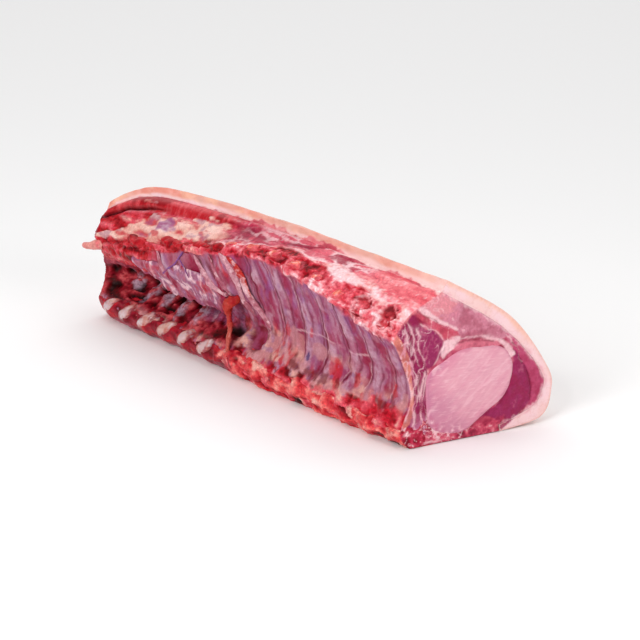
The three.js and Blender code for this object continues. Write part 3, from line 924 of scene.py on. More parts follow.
def paint_rib_ends(paint, spots, along, fine, torn):
    """Paints the ribs' ends in the strip. It gives where they lie, where the saw left them open, and the
    rise and fall of the meat along them."""
    saw_edge = rail("saw_edge", share_at(along))
    phase = (along - FIRST_RIB_X + RIB_SLANT * saw_edge[..., 1]) / RIB_PITCH
    turn = np.clip(np.round(phase), 1 - RIB_COUNT, 0)
    is_open = turn > 0.5 - OPEN_ENDS
    beside = at((phase - turn) * RIB_PITCH, spots[..., 1] - saw_edge[..., 0])
    opening = oval(beside, (0, RIB_SINK), (RIB_HALF_WIDTH + 1, RIB_HALF_DEPTH + 1), 0.5 * torn + 0.4 * fine)
    brim = oval(beside, (0, RIB_SINK), (RIB_HALF_WIDTH + 6, RIB_HALF_DEPTH + 6), 0.5 * torn)
    lay(paint, CORAL, opening * 0.6)
    lay(paint, ramp(torn + 0.5 * fine, RIB_BRIM), brim * is_open * 0.5)
    lay(paint, ramp(torn + 0.5 * fine, RIB_HOLE), opening * is_open * 0.9)
    return opening, opening * is_open, np.cos(2 * math.pi * phase)


def paint_lumbar_strip(paint, spots, along, share, lumbar, lumps):
    """Paints the strip's lumbar end: a thick red muscle, a crevice painted near black as painted shadow, a
    patch of soft fat and lumps of torn meat. It gives the fat, the fat's folds, the torn meat and the
    crevice."""
    flow, broad, fine, torn = lumps
    dark_band = lumbar * smooth(0.76, 0.80, share + 0.03 * broad) * smooth(0.99, 0.96, share)
    fibre = noise(spots * (1, 0.15, 0.15), 4, seed=43, octaves=2)
    by_fat = smooth(0.82, 0.96, share + 0.05 * flow)
    lay(paint, FAR_MUSCLE, dark_band * 0.95)
    lay(paint, PINK_MUSCLE, dark_band * (0.2 * smooth(0.0, 0.6, fibre) + 0.5 * by_fat))
    lay(paint, DEEP, dark_band * smooth(0.0, 0.6, -broad - 0.5 * fibre) * 0.5)
    scrap = lumbar * smooth(0.79, 0.75, share + 0.03 * broad)
    # The torn meat's colour follows its relief: painted shade in the pits, painted highlight on the crests
    lay(paint, ramp(torn + 0.4 * broad, SCRAP_MEAT), scrap)
    from_line = np.abs(share - np.interp(along, SOFT_FAT_X, SOFT_FAT_LINE) + 0.08 * flow)
    ragged = from_line - np.interp(along, SOFT_FAT_REACH_X, SOFT_FAT_REACH) + 0.14 * broad + 0.08 * torn
    soft = lumbar * smooth(0.03, -0.03, ragged)
    folds = noise(spots, (26, 11, 11), seed=47)
    # The soft fat's colour partly follows its folds: redder in the troughs as painted shade, paler on the
    # crests
    lay(paint, ramp(0.3 * torn + 0.2 * fine + folds, SOFT_FAT), soft)
    lay(paint, SOFT_FAT_BLOOD, soft * patches(spots, (20, 9, 9), 58, 0.15, 0.5) * 0.8)
    lay(paint, LILAC, soft * patches(spots, (14, 8, 8), 59, 0.25, 0.6) * 0.5)
    smudge = strip_spot(along, share, STRIP_SMUDGE)
    lay(paint, PURPLE, smooth(0.4, 0.8, smudge + 0.35 * noise(spots, 8, seed=46)) * 0.6)
    # The crevice is sunk into the relief and painted near black: painted shadow
    crevice = lumbar * hump(share, 0.78 + 0.04 * broad, 0.025) * smooth(-150, -215, along + 15 * broad)
    lay(paint, SHADOW_BLACK, crevice * 0.85)
    return soft, folds, scrap, crevice


def paint_strip(spots, along, share):
    """Relief, colour, wetness and grit of the sawn top strip between the rib wall and the fat."""
    flow = noise(spots * (0.2, 1, 1), 7, seed=40, octaves=4)
    broad = noise(spots, (36, 12, 12), seed=41)
    fine = noise(spots, 3, seed=48, octaves=2)
    torn = crest(spots, (24, 14, 13), seed=42)
    lumps = flow, broad, fine, torn
    lumbar = smooth(-45, -85, along + 10 * broad)
    paint, sponge, white, bundles = paint_bands(spots, along, share, lumps)
    opening, hole, knobs = paint_rib_ends(paint, spots, along, fine, torn)
    soft, folds, scrap, crevice = paint_lumbar_strip(paint, spots, along, share, lumbar, lumps)
    height = BAND_HEIGHT * np.sin(math.pi * np.clip((share - 0.76) / 0.23, 0, 1)) * (0.5 + 1.2 * lumbar)
    height += sponge * (SPONGE_RELIEF * torn + 1.6 * broad) * (1 - opening) - opening - HOLE_DEPTH * hole
    height += KNOB_HEIGHT * knobs * (1 - lumbar) * smooth(0.34, 0.1, share)
    height += white * (0.8 + 1.2 * noise(spots, 8, seed=51))
    height += (1 - lumbar) * (1 - sponge) * (BUNDLE_HEIGHT * bundles + 0.8 * broad)
    height += soft * (1.5 + 0.6 * torn + 2.6 * folds) + scrap * (2.2 * torn + 1.2 * broad) * (1 - soft)
    height += 0.5 * flow - CREVICE_DEPTH * crevice
    height *= smooth(1.0, 0.97, share)
    wet = 0.75 + 0.1 * lumbar - 0.3 * soft - 0.3 * white
    return height, paint, wet, np.maximum(0.5, np.maximum(sponge, scrap)) * (1 - 0.7 * soft)


def closed_curve(points, count):
    """A smooth closed outline through its points."""
    looped = np.asarray(points[-2:] + points + points[:3], float)
    steps = len(looped) - 1
    return spline(looped, np.linspace(2 / steps, (2 + len(points)) / steps, count, endpoint=False))


# What the shoulder-end cut shows, as section points [y, z]: the eye muscle's outline, the muscles round it
# with their colours, patches of fat, and the seams between them with their half widths
EYE_OUTLINE = [
    [-25, 90], [-13, 93], [2, 92], [18, 91], [28, 87], [35, 79], [39, 69], [38, 55], [33, 41], [25, 32],
    [14, 25], [0, 15], [-11, 8], [-25, 7], [-42, 12], [-51, 21], [-54, 36], [-55, 54], [-54, 70], [-47, 78],
    [-36, 84]]
MUSCLES = {
    "left_strips": (tone(146, 34, 82), [
        [-80, 134], [-70, 134], [-62, 122], [-66, 114], [-60, 101], [-56, 87], [-54, 76], [-55, 56],
        [-53, 30], [-52, 18], [-62, 8], [-76, 18], [-74, 32], [-70, 50], [-71, 70], [-77, 91], [-83, 108],
        [-87, 120]]),
    "rib_edge": (tone(216, 124, 112), [
        [-81, 134], [-90, 127], [-87, 118], [-79, 106], [-73, 90], [-70, 70], [-68, 50], [-69, 34], [-74, 24],
        [-82, 20], [-86, 30], [-80, 48], [-79, 66], [-86, 90], [-94, 114]]),
    "block": (tone(206, 128, 148), [
        [-58, 141], [-43, 150], [-34, 147], [-18, 136], [3, 126], [19, 116], [29, 104], [30, 98], [19, 97],
        [1, 101], [-17, 104], [-22, 110], [-37, 122], [-50, 131]]),
    "outer_crescent": (tone(186, 72, 108), [
        [30, 102], [40, 101], [50, 93], [62, 79], [71, 58], [75, 37], [73, 25], [66, 20], [57, 21], [57, 30],
        [59, 38], [56, 55], [47, 72], [38, 85], [32, 95]]),
    "inner_crescent": (tone(150, 44, 88), [
        [39, 83], [47, 72], [56, 55], [59, 38], [57, 24], [46, 16], [38, 9], [28, 5], [14, 15], [5, 19],
        [22, 28], [32, 40], [37, 55], [39, 69]]),
    "under": (tone(194, 78, 100), [
        [-60, 2], [-56, 8], [-42, 9], [-25, 6], [-10, 8], [9, 19], [29, 6], [30, 0], [9, 0], [-14, 0],
        [-40, 0]]),
    "triangle": (tone(150, 44, 90), [
        [-62, 122], [-56, 118], [-49, 116], [-39, 104], [-36, 99], [-38, 94], [-44, 85], [-52, 79], [-56, 87],
        [-60, 101], [-66, 114]]),
    "thin_strip": (tone(202, 80, 100), [
        [-67, 136], [-61, 133], [-49, 125], [-37, 117], [-26, 113], [-22, 108], [-26, 105], [-37, 107],
        [-49, 119], [-59, 127]]),
    "low_skin": (tone(178, 96, 130), [[-69, 31], [-57, 34], [-52, 21], [-56, 13], [-68, 16]]),
    "eye_cap": (tone(214, 112, 132), [
        [-26, 94], [-18, 99], [0, 100], [17, 97], [26, 91], [18, 90], [0, 91], [-14, 92]]),
}
FAT_PATCHES = [
    [[-38, 101], [-28, 104], [-20, 105], [-25, 97], [-32, 91], [-38, 87]],
    [[19, 97], [29, 93], [37, 85], [40, 78], [35, 75], [29, 86]],
    [[-66, 141], [-58, 139], [-44, 128], [-26, 116], [-22, 112], [-37, 120], [-52, 128]],
]
WHITE_SEAMS = [
    (1.5, [[-36, 102], [-28, 104], [-9, 103], [6, 101], [19, 97], [28, 92]]),
    (0.8, [[28, 101], [33, 94], [38, 86], [44, 78], [50, 69]]),
    (0.8, [[-78, 135], [-73, 122], [-68, 105], [-64, 90], [-59, 77], [-58, 68]]),
    (0.7, [[-80, 128], [-76, 112], [-73, 96], [-68, 80], [-66, 62]]),
    (0.8, [[-67, 121], [-63, 110], [-60, 96], [-57, 84], [-54, 76]]),
    (0.8, [[-58, 68], [-61, 56], [-64, 45], [-67, 33], [-69, 24]]),
    (0.6, [[-62, 78], [-64, 64], [-60, 48], [-60, 34], [-57, 20]]),
    (1.0, [[-54, 72], [-57, 53], [-55, 36], [-51, 22]]),
    (0.9, [[-62, 124], [-55, 119], [-48, 117], [-39, 105]]),
    (1.4, [[-37, 98], [-39, 93], [-46, 83], [-54, 77]]),
    (1.5, [[-91, 108], [-84, 99], [-79, 87], [-75, 73], [-72, 57], [-73, 44], [-77, 30]]),
    (1.0, [[-52, 18], [-45, 13], [-36, 9]]),
    (0.8, [[-66, 20], [-58, 9], [-50, 4], [-36, 3]]),
    (0.6, [[-30, 5], [-24, 9], [-14, 5]]),
]
# Dark seams: dark red lines between muscles; the one along the eye's lower right is also painted shadow in
# its crevice
DARK_SEAMS = [
    (0.9, [[-24, 95], [-18, 98], [-8, 100], [4, 99], [17, 96]]),
    (0.8, [[36, 89], [40, 84], [48, 72], [56, 55], [59, 38], [57, 29], [57, 22]]),
    (1.0, [[33, 40], [25, 31], [14, 24], [0, 14], [-12, 7]]),
    (0.7, [[-74, 118], [-70, 100], [-66, 84], [-63, 66], [-66, 48]]),
    (0.8, [[-66, 137], [-56, 131], [-44, 124]]),
]
WHITE_SEAM_DEPTH = 0.25
DARK_SEAM_DEPTH = 0.7
# Spots of the cut, each with its half sizes: a lighter and a redder part of the block of muscle, the webbed
# corner under the ribs, and shreds of sheath beside it
LIGHT_SPOT = ((-42, 140), (20, 11))
RED_SPOT = ((6, 105), (24, 6))
WEBBED_CORNER = ((-58, 12), (22, 12))
SHREDS = ((-44, 13), (16, 6))
eye_outline = closed_curve(EYE_OUTLINE, EYE_SAMPLES)


def depth_in(outline, flat):
    """How deep flat points lie inside the smooth outline through a muscle's points."""
    return depth_inside(closed_curve(outline, 6 * len(outline)), flat)


def paint_muscles(flat, spots, fat_border, rough, fine, cloud):
    """Colour and relief of the muscles in a cut, with the patches of fat between them."""
    paint = ramp(cloud + 0.4 * fine, CUT_GROUND)
    height = np.zeros(len(flat))
    for shade, outline in MUSCLES.values():
        deep = depth_in(outline, flat) + 0.6 + 0.7 * rough
        mask = smooth(-0.6, 0.7, deep)
        lay(paint, shade, mask)
        height = np.maximum(height, mask * (1 - np.exp(-np.maximum(deep, 0) / 2.5)))
    lay(paint, CRIMSON, smooth(0.0, -0.7, cloud + 0.4 * rough) * 0.45)
    lay(paint, MUSCLE_PINK, smooth(0.1, 0.7, cloud + 0.5 * fine) * 0.3)
    lay(paint, SALMON, oval(flat, *LIGHT_SPOT, 0.4 * rough) * 0.5)
    marbled = smooth(92, 104, flat[:, 1]) * thread(spots, 10, seed=69, fine=0.06)
    lay(paint, FAT_WHITE, marbled * smooth(-0.2, 0.4, cloud) * 0.6)
    lay(paint, CRIMSON, oval(flat, *RED_SPOT, 0.5 * rough) * 0.3)
    lowest = smooth(18, 11, flat[:, 1] + 3 * rough) * smooth(37, 29, flat[:, 0])
    lay(paint, ramp(crest(spots, 9, seed=75) + 0.4 * fine, FLOOR_MEAT), lowest * 0.8)
    lay(paint, FAT_WHITE, lowest * smooth(4, -12, flat[:, 0]) * thread(spots, 8, seed=98, fine=0.1) * 0.7)
    by_fat = smooth(4, 0.3, reach(fat_border, flat) + 2 * rough)
    lay(paint, FAT_WHITE, by_fat * smooth(4, 14, flat[:, 1]) * 0.6)
    for outline in FAT_PATCHES:
        deep = depth_in(outline, flat) + 1.2 * rough
        lay(paint, FAT_WHITE, smooth(-1.4, 1.2, deep) * (0.85 + 0.2 * fine))
        height += 0.5 * smooth(-0.6, 1.5, deep)
    return paint, height


def paint_sheaths(paint, flat, spots, rough, cloud):
    """Paints what binds the muscles in a cut: strands of sheath beside the ribs and in the corner under them,
    the seams and some shreds. It gives how deep the seams are sunk."""
    beside_ribs = smooth(-50, -58, flat[:, 0] + 3 * rough) * smooth(128, 112, flat[:, 1])
    beside_ribs *= smooth(0.1, -0.3, cloud - 0.3)
    lay(paint, STRAND_PINK, beside_ribs * thread(spots * (1, 1, 0.25), 7, seed=67, fine=0.16) * 0.7)
    webbed = beside_ribs * smooth(40, 62, flat[:, 1])
    lay(paint, FAT_WHITE, webbed * thread(spots * (1, 1, 0.4), 10, seed=70, fine=0.07) * 0.6)
    corner = oval(flat, *WEBBED_CORNER, 0.4 * rough)
    lay(paint, FAT_WHITE, corner * thread(spots, 6, seed=68, fine=0.12) * 0.8)
    bend = at(noise(spots, 11, seed=62), noise(spots, 11, seed=64))
    warped = flat + 2.2 * bend + 0.5 * rough[:, None]
    swell = 0.75 + 0.7 * noise(spots, 13, seed=66)
    sunk = np.zeros(len(flat))
    kinds = (FAT_WHITE, WHITE_SEAM_DEPTH, WHITE_SEAMS), (SEAM_DARK, DARK_SEAM_DEPTH, DARK_SEAMS)
    for shade, seam_depth, seams in kinds:
        for width, path in seams:
            away = reach(path, warped) / (width * np.maximum(swell, 0.3))
            mark = np.exp(-0.8 * away**2)
            lay(paint, shade, (0.6 * mark + 0.1 * np.exp(-0.15 * away**2)) * smooth(0.0, 0.8, swell))
            sunk += seam_depth * mark
    lay(paint, FASCIA, oval(flat, *SHREDS, 0.3 * rough) * patches(spots, 3.4, 65, 0.0, 0.5) * 0.8)
    return sunk


def paint_cut(flat, spots, fat_border):
    """Relief and colour of a cut end round the eye muscle."""
    rough = noise(spots, 5, seed=60)
    fine = noise(spots, 2.2, seed=61, octaves=2)
    cloud = noise(spots, 16, seed=63)
    paint, height = paint_muscles(flat, spots, fat_border, rough, fine, cloud)
    height -= paint_sheaths(paint, flat, spots, rough, cloud)
    return (height + 0.3 * fine) * smooth(2, -4, depth_inside(eye_outline, flat)), paint


u = np.linspace(0, 1, LEAN_STATIONS)
wall_share = np.linspace(0, 1, WALL_SAMPLES)
strip_share = np.linspace(0, 1, STRIP_SAMPLES)
wall = section(WALL, u, wall_share)
hidden = under_fat(u, np.linspace(0, 1, HIDDEN_SAMPLES), -TUCK)
fat_foot = rail("fat_foot", u)
hidden[:, -1, 0] = fat_foot[:, 0] - 6 * GAP
strip = spline([wall[:, -1], rail("strip_middle", u), hidden[:, 0]], strip_share).swapaxes(0, 1)
corner = at(fat_foot[:, 0] - 2 * GAP, 0)
floor_share = np.linspace(0, 1, FLOOR_SAMPLES)[None, :-1, None]
under_side = corner[:, None] + (wall[:, :1] - corner[:, None]) * floor_share
rings = place(u, np.concatenate([wall, strip[:, 1:], hidden[:, 1:], under_side], axis=1))
out = facing(rings)
along = np.broadcast_to(LUMBAR_END_X + u[:, None] * CHINE_LENGTH, rings.shape[:2])

lean_paint = plain(CRIMSON, rings)
lean_height = np.zeros(rings.shape[:2])
lean_wet = np.full(rings.shape[:2], 0.5)
lean_grit = np.full(rings.shape[:2], 0.5)
strip_end = WALL_SAMPLES + STRIP_SAMPLES - 1
for cover, span, share in (
    (paint_wall, slice(0, WALL_SAMPLES), wall_share),
    (paint_strip, slice(WALL_SAMPLES, strip_end), strip_share[1:]),
):
    shares = np.broadcast_to(share, (LEAN_STATIONS, len(share)))
    height, paint, wet, grit = cover(rings[:, span], along[:, span], shares)
    lean_height[:, span] = height
    lean_paint[:, span] = paint
    lean_wet[:, span] = wet
    lean_grit[:, span] = grit

# The wall takes over the strip's relief and colour at the saw's edge, which is broken and wavy
nearby = slice(WALL_SAMPLES - EDGE_SAMPLES, WALL_SAMPLES)
torn_edge = noise(rings[:, nearby], (15, 9, 9), seed=73)
taken = smooth(0.93, 0.975, wall_share[nearby] + 0.04 * torn_edge)
height, paint, wet, grit = paint_strip(rings[:, nearby], along[:, nearby], 0 * taken)
lean_height[:, nearby] += (height - lean_height[:, nearby]) * taken
lean_grit[:, nearby] += (grit - lean_grit[:, nearby]) * taken
lay(lean_paint[:, nearby], paint, taken)
ends = between_ends(u, LEAN_END_FADE)
lean_height *= ends[:, None]
rounded = CUT_ROUNDING * smooth(0.992, 1, u)[:, None] * smooth(1.0, 0.9, strip_share[1:])
lean_height[:, WALL_SAMPLES:strip_end] -= rounded
rings = rings + out * lean_height[..., None]
from_edge = np.abs(np.arange(rings.shape[1]) - (WALL_SAMPLES - 1))
sag = crest(rings[:, WALL_SAMPLES - 1], (26, 20, 20), seed=74) * ends
rings[:, :, 2] += EDGE_WAVE * sag[:, None] * np.exp(-from_edge / EDGE_REACH)
at_far_end = smooth(0.05, 0, u)[:, None]
frayed = noise(rings[:1, :strip_end] * (0, 1, 1), (1, 13, 13), seed=72, octaves=4)
rings[:, :strip_end, 0] += FRAY * (frayed + 0.4) * at_far_end
rings[..., 2] = np.maximum(rings[..., 2], 0)
cut_facing = np.array([1, -CUT_SLANT, 0]) / math.hypot(1, CUT_SLANT)
rings[-1, strip_end:] -= cut_facing * TUCK
rings[0, strip_end:] += cut_facing * TUCK


def as_near(flat):
    """Section points of the lumbar end moved to where the shoulder end shows the same muscle."""
    return (flat - EYE_CENTRE[0]) * FAR_EYE_SCALE + EYE_CENTRE[-1]


near_flat, near_points, near_triangles = fill_ring(
    rings[-1], 1, CUT_SPACING, lambda flat: depth_inside(eye_outline, flat) < EYE_OVERLAP)
far_flat, far_points, far_triangles = fill_ring(
    rings[0], 0, FAR_SPACING, lambda flat: depth_inside(eye_outline, as_near(flat)) < FAR_EYE_OVERLAP)
near_height, near_paint = paint_cut(near_flat, near_points, hidden[-1])
from_strip = reach(strip[-1, ::6], near_flat) + 2.5 * noise(near_points, 7, seed=79)
lay(near_paint, STRIP_GLOW, smooth(4.5, 0.5, from_strip) * 0.7)
far_height, far_paint = paint_cut(as_near(far_flat), far_points, as_near(hidden[0]))
near_points = near_points + cut_facing * near_height[:, None]
far_points = far_points - far_height[:, None] * (1, 0, 0)
points = np.concatenate([rings.reshape(-1, 3), near_points, far_points])
faces = capped_faces(rings, near_triangles, len(near_points), far_triangles)
tissue = np.concatenate([lean_paint.reshape(-1, 3), near_paint, far_paint])
cut_count = len(near_points) + len(far_points)
wet = np.append(lean_wet, np.full(cut_count, CUT_WET))
grit = np.append(lean_grit, np.full(cut_count, CUT_GRIT))


def meat_finish():
    """Wet raw meat: a painted ground with fine fibres and flecks, painted shade where its bump sinks, under a
    thin glossy film.
    """
    finish, start, sockets = new_finish("raw_meat")
    ground = painted(start, "tissue", "Color")
    wet = painted(start, "wet")
    torn = painted(start, "grit")
    blot = grain(start, 170, 6)
    fine = grain(start, 460, 4)
    # Mottling that darkens the colour where the bump sinks: the meat's own blotches and painted shade in the
    # pits
    shaded = (blot.step(0.55, 0.3) * torn * 0.6).mix(ground, rgba(196, 118, 140), "MULTIPLY")
    flecked = (fine.step(0.52, 0.72) * (torn * 0.3 + 0.12)).mix(shaded, ground, "ADD")
    # Dark dots where the finer bump sinks: painted shade in its pits
    dotted = fine.step(0.48, 0.3) * (torn * 0.2 + 0.15)
    height = (blot * 0.6 + fine * 0.4) * (torn * 0.8 + 0.2)
    start.feed(sockets, {
        "Base Color": dotted.mix(flecked, rgba(190, 110, 130), "MULTIPLY"),
        "Roughness": 0.55 - wet * 0.2 + (blot - 0.5) * 0.3,
        "Coat Weight": wet * 0.35 * blot.step(0.42, 0.68),
        "Normal": start.node("Bump", {"Height": height, "Strength": 0.5, "Distance": 1.0 * MM}),
        "Specular IOR Level": 0.12,
        "Coat Roughness": 0.12,
        "Subsurface Weight": 0.05,
        "Subsurface Radius": (1, 0.3, 0.25),
        "Subsurface Scale": 3 * MM,
    })
    return finish


raw_meat = meat_finish()
lean = make_piece("lean_meat", points, faces, raw_meat, tissue, wet, grit)
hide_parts("lean")

# Loin eye: the pale, close-grained muscle in the middle of the loin, which runs from end to end.
# It shows at both cuts, where it stands slightly domed inside its white sheath.
EYE_HALF_AXES = [[30, 28], [35, 32], [41, 35], [47, 39], [50, 41]]
EYE_STATIONS = 30
EYE_RINGS = 64
EYE_EDGE_DEPTH = 0.4
EYE_PROUD = 0.5
EYE_DOME = 1.6
EYE_RELIEF = 0.2
EYE_GRAIN = math.radians(38)
EYE_PINK = tone(229, 162, 178)
EYE_MAUVE = tone(200, 126, 152)
EYE_ROSE = tone(220, 132, 158)
EYE_WHITE = tone(250, 206, 214)
EYE_SHEATH = tone(196, 112, 144)
# Painted shadow along the eye's rim
EYE_RIM_SHADOW = tone(196, 96, 130)


def eye_ring(share, spread, lift):
    """One ring of the eye muscle at a share of the length, drawn in by the spread and lifted off the cut."""
    crowded = share**STATION_CROWDING
    size = spline(EYE_HALF_AXES, crowded).sum() / sum(EYE_HALF_AXES[-1])
    flat = spline(EYE_CENTRE, crowded) + (eye_outline - EYE_CENTRE[-1]) * size * spread
    return place([share], flat[None])[0] + cut_facing * lift


shrink = np.linspace(0.01, 1, EYE_RINGS)
over_edge = (EYE_EDGE_DEPTH + EYE_PROUD) * smooth(1, 0.965, shrink)
swell = -EYE_EDGE_DEPTH + over_edge + EYE_DOME * (1 - shrink**2)
rings = [eye_ring(0.0, spread, -lift) for spread, lift in zip(shrink, swell)]
rings += [eye_ring(share, 1, 0) for share in np.linspace(0.01, 0.99, EYE_STATIONS)]
rings += [eye_ring(1.0, spread, lift) for spread, lift in zip(shrink[::-1], swell[::-1])]
rings = np.array(rings)
around = rings.shape[1]
points = rings.reshape(-1, 3)
faces = tube_faces(len(rings), around)
faces += [list(range(around)), list(range(len(points) - around, len(points)))[::-1]]

flat = points[:, 1:] - EYE_CENTRE[-1]
with_grain = flat @ (math.cos(EYE_GRAIN), math.sin(EYE_GRAIN))
across_grain = flat @ (-math.sin(EYE_GRAIN), math.cos(EYE_GRAIN))
fibre = at(with_grain * 0.2, across_grain, points[:, 0] * 0.02)
cloud = noise(points, 30, seed=80)
tissue = plain(EYE_PINK, points)
lay(tissue, EYE_MAUVE, smooth(2, -46, with_grain + 10 * cloud) * 0.9)
lay(tissue, EYE_ROSE, smooth(22, 42, across_grain + 6 * cloud) * 0.8)
lay(tissue, EYE_ROSE, patches(fibre, 3.4, 81, 0.0, 0.8) * 0.3)
lay(tissue, EYE_WHITE, patches(fibre, 2.6, 82, 0.1, 0.75) * 0.3)
rim = np.concatenate([shrink, np.ones(EYE_STATIONS), shrink[::-1]])
rim = np.repeat(rim, around) + 0.07 * noise(points, 9, seed=85)
left = smooth(-10, -34, flat[:, 0] + 6 * cloud)
lay(tissue, EYE_SHEATH, left * smooth(0.8, 0.97, rim) * 0.6)
sheath_lines = thread(points * (1, 1, 0.5), 14, seed=86, fine=0.1)
lay(tissue, EYE_WHITE, left * smooth(0.75, 0.95, rim) * sheath_lines * 0.5)
# Painted shadow along the rim away from the sheath
lay(tissue, EYE_RIM_SHADOW, (1 - left) * smooth(0.9, 1.0, rim) * 0.5)
low = smooth(-14, -36, flat[:, 1] + 5 * cloud) * smooth(6, -14, flat[:, 0])
frayed = crest(points, 7, seed=87)
lay(tissue, EYE_MAUVE, low * smooth(0.45, 0.9, rim) * 0.6)
lay(tissue, EYE_WHITE, low * smooth(0.74, 0.9, rim) * smooth(0.2, 0.7, frayed) * 0.8)
# Painted shadow in the hollows of the frayed rim at the lower left
lay(tissue, EYE_RIM_SHADOW, low * smooth(0.8, 0.95, rim) * smooth(0.1, -0.4, frayed) * 0.7)
points = points + cut_facing * (EYE_RELIEF * noise(fibre, 2.6, seed=84))[:, None]


def eye_finish():
    """Pale moist muscle: the painted grain, a finer one in the nodes and a satin film."""
    finish, start, sockets = new_finish("eye_muscle")
    fine = grain(start, 110, 5, stretch=(0.2, 1, 6), turn=(-EYE_GRAIN, 0, 0))
    streaked = (fine.step(0.52, 0.72) * 0.3).mix(painted(start, "tissue", "Color"), rgba(248, 212, 218))
    start.feed(sockets, {
        "Base Color": (fine.step(0.46, 0.28) * 0.25).mix(streaked, rgba(200, 124, 148)),
        "Roughness": 0.4 + grain(start, 90) * 0.2,
        "Normal": start.node("Bump", {"Height": fine, "Strength": 0.25, "Distance": 0.5 * MM}),
        "Specular IOR Level": 0.25,
        "Coat Weight": 0.12,
        "Coat Roughness": 0.2,
        "Subsurface Weight": 0.1,
        "Subsurface Radius": (1, 0.4, 0.35),
        "Subsurface Scale": 4 * MM,
    })
    return finish


loin_eye = make_piece("eye_muscle", points, faces, eye_finish(), tissue)
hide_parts("loin_eye")

# Backbone: the split vertebrae along the foot of the rib wall. The saw has left the rib part red, open and
# craggy; at the lumbar end the bodies are covered by meat, with a smooth swelling at each disc.
LUMBAR_COUNT = 6
LUMBAR_PITCH = 37
FIRST_DISC_X = -67
CHINE_TOP = 0.3
CHINE_DEPTH = 24
CHINE_SHOULDER = 8
CHINE_STATIONS = 420
CHINE_SAMPLES = 44
CHINE_OVERLAP = 0.06
CHINE_CUT_SPACING = 1.1
CHINE_FAR_SPACING = 2.0
DISC_BULGE = 3.5
DISC_HALF_WIDTH = 8
VERTEBRA_BULGE = 1.6
CHINE_CRAGS = 3.4
LIP_CRAGS = 1.6
CUT_CRAGS = 1.2
BORDER_SINK = 2.6
BORDER_RISE = 3.4
NEAR_PROUD = 1.0
FAR_PROUD = 0.9
MARROW = tone(224, 76, 78)
BONE_PINK = tone(238, 142, 132)
LIP_RED = tone(144, 26, 46)
FOOT_PINK = tone(206, 118, 134)
# Colours from the pits to the crests of the relief: partly painted shade and painted highlight
SAWN_BONE = [
    (-0.7, SHADOW_BLACK), (-0.35, DEEP), (0.05, BRIGHT_RED), (0.5, MARROW), (1.0, BONE_PINK), (1.4, CREAM)]
LIP_MEAT = [(-0.5, DEEP), (0.1, LIP_RED), (0.8, BLOOD), (1.3, CORAL)]
NEAR_BONE = [(-0.7, tone(80, 4, 22)), (-0.1, tone(158, 20, 50)), (0.5, tone(200, 60, 86)), (0.9, FASCIA)]
FAR_BONE = [(-0.7, DEEP), (-0.1, LIP_RED), (0.5, MARROW), (1.0, CREAM)]

u = np.linspace(0, 1, CHINE_STATIONS)
t = np.linspace(0, CHINE_TOP + CHINE_OVERLAP, CHINE_SAMPLES)
front = section(WALL, u, t)
inner_y = rail("foot", u)[:, 0] + CHINE_DEPTH
top_z = front[:, -1, 1]
inside = np.stack([
    at(inner_y - CHINE_SHOULDER, top_z - 2), at(inner_y, top_z - CHINE_SHOULDER), at(inner_y, 0)], axis=1)
rings = place(u, np.concatenate([front, inside], axis=1))
along = LUMBAR_END_X + u[:, None] * CHINE_LENGTH
shown = slice(0, CHINE_SAMPLES)
face = rings[:, shown]
out = facing(face, closed=False)
torn = crest(face, (22, 16, 14), seed=2)
rough = noise(face, 12, seed=90)
disc_places = [FIRST_DISC_X - disc * LUMBAR_PITCH for disc in range(LUMBAR_COUNT)]
at_disc = sum(hump(along, disc_x, DISC_HALF_WIDTH) for disc_x in disc_places)
lumbar = smooth(-5, -55, along + 18 * rough)
share = t[None, :] / CHINE_TOP
ends = between_ends(u, END_FADE)[:, None]
border = smooth(1.12, 0.86, share + 0.16 * ends * noise(face, (16, 8, 8), seed=91))
crags = (1 - lumbar) * border * CHINE_CRAGS * torn
crags += lumbar * (0.6 * rough + LIP_CRAGS * torn) * (1 - at_disc)
at_vertebra = VERTEBRA_BULGE * np.cos(2 * math.pi * (along - FIRST_RIB_X) / RIB_PITCH)
bulge = np.where(along < FIRST_DISC_X + LUMBAR_PITCH / 2, 0, at_vertebra) + DISC_BULGE * at_disc
swelling = bulge * np.sin(math.pi * np.clip(share, 0, 1))
lift = (-BORDER_SINK + BORDER_RISE * border + (crags + swelling) * ends) * smooth(0, 0.12, share)
rings[:, shown] = face + out * lift[..., None]
rings[..., 2] = np.maximum(rings[..., 2], 0)

chine_paint = plain(MARROW, rings)
# The sawn bone and the lip take their colour from their crags: painted shade, near black in the bone, in the
# pits and painted highlight on the crests, over their own red and cream
paint = ramp(torn + 0.5 * rough, SAWN_BONE)
lay(paint, CREAM, smooth(0.75, 1.0, share + 0.3 * rough) * patches(face, (22, 9, 9), 92, 0.1, 0.5) * 0.8)
lay(paint, ramp(torn + 0.4 * rough, LIP_MEAT), lumbar)
lay(paint, FOOT_PINK, lumbar * smooth(0.42, 0.1, share + 0.2 * rough) * 0.7)
chine_paint[:, shown] = paint


def ragged_border(spots, station):
    """1 along the backbone's inner borders at a cut, where it goes under the meat, and 0 inside them."""
    ragged = 5 * noise(spots, 7, seed=97)
    inwards = smooth(inner_y[station] - 14, inner_y[station] - 2, spots[:, 1] + ragged)
    upwards = smooth(top_z[station] - 11, top_z[station] - 2, spots[:, 2] + ragged)
    return np.maximum(inwards, upwards)


near_points, near_triangles = fill_ring(rings[-1], 1, CHINE_CUT_SPACING)[1:]
far_points, far_triangles = fill_ring(rings[0], 0, CHINE_FAR_SPACING)[1:]
near_torn = crest(near_points, 9, seed=4)
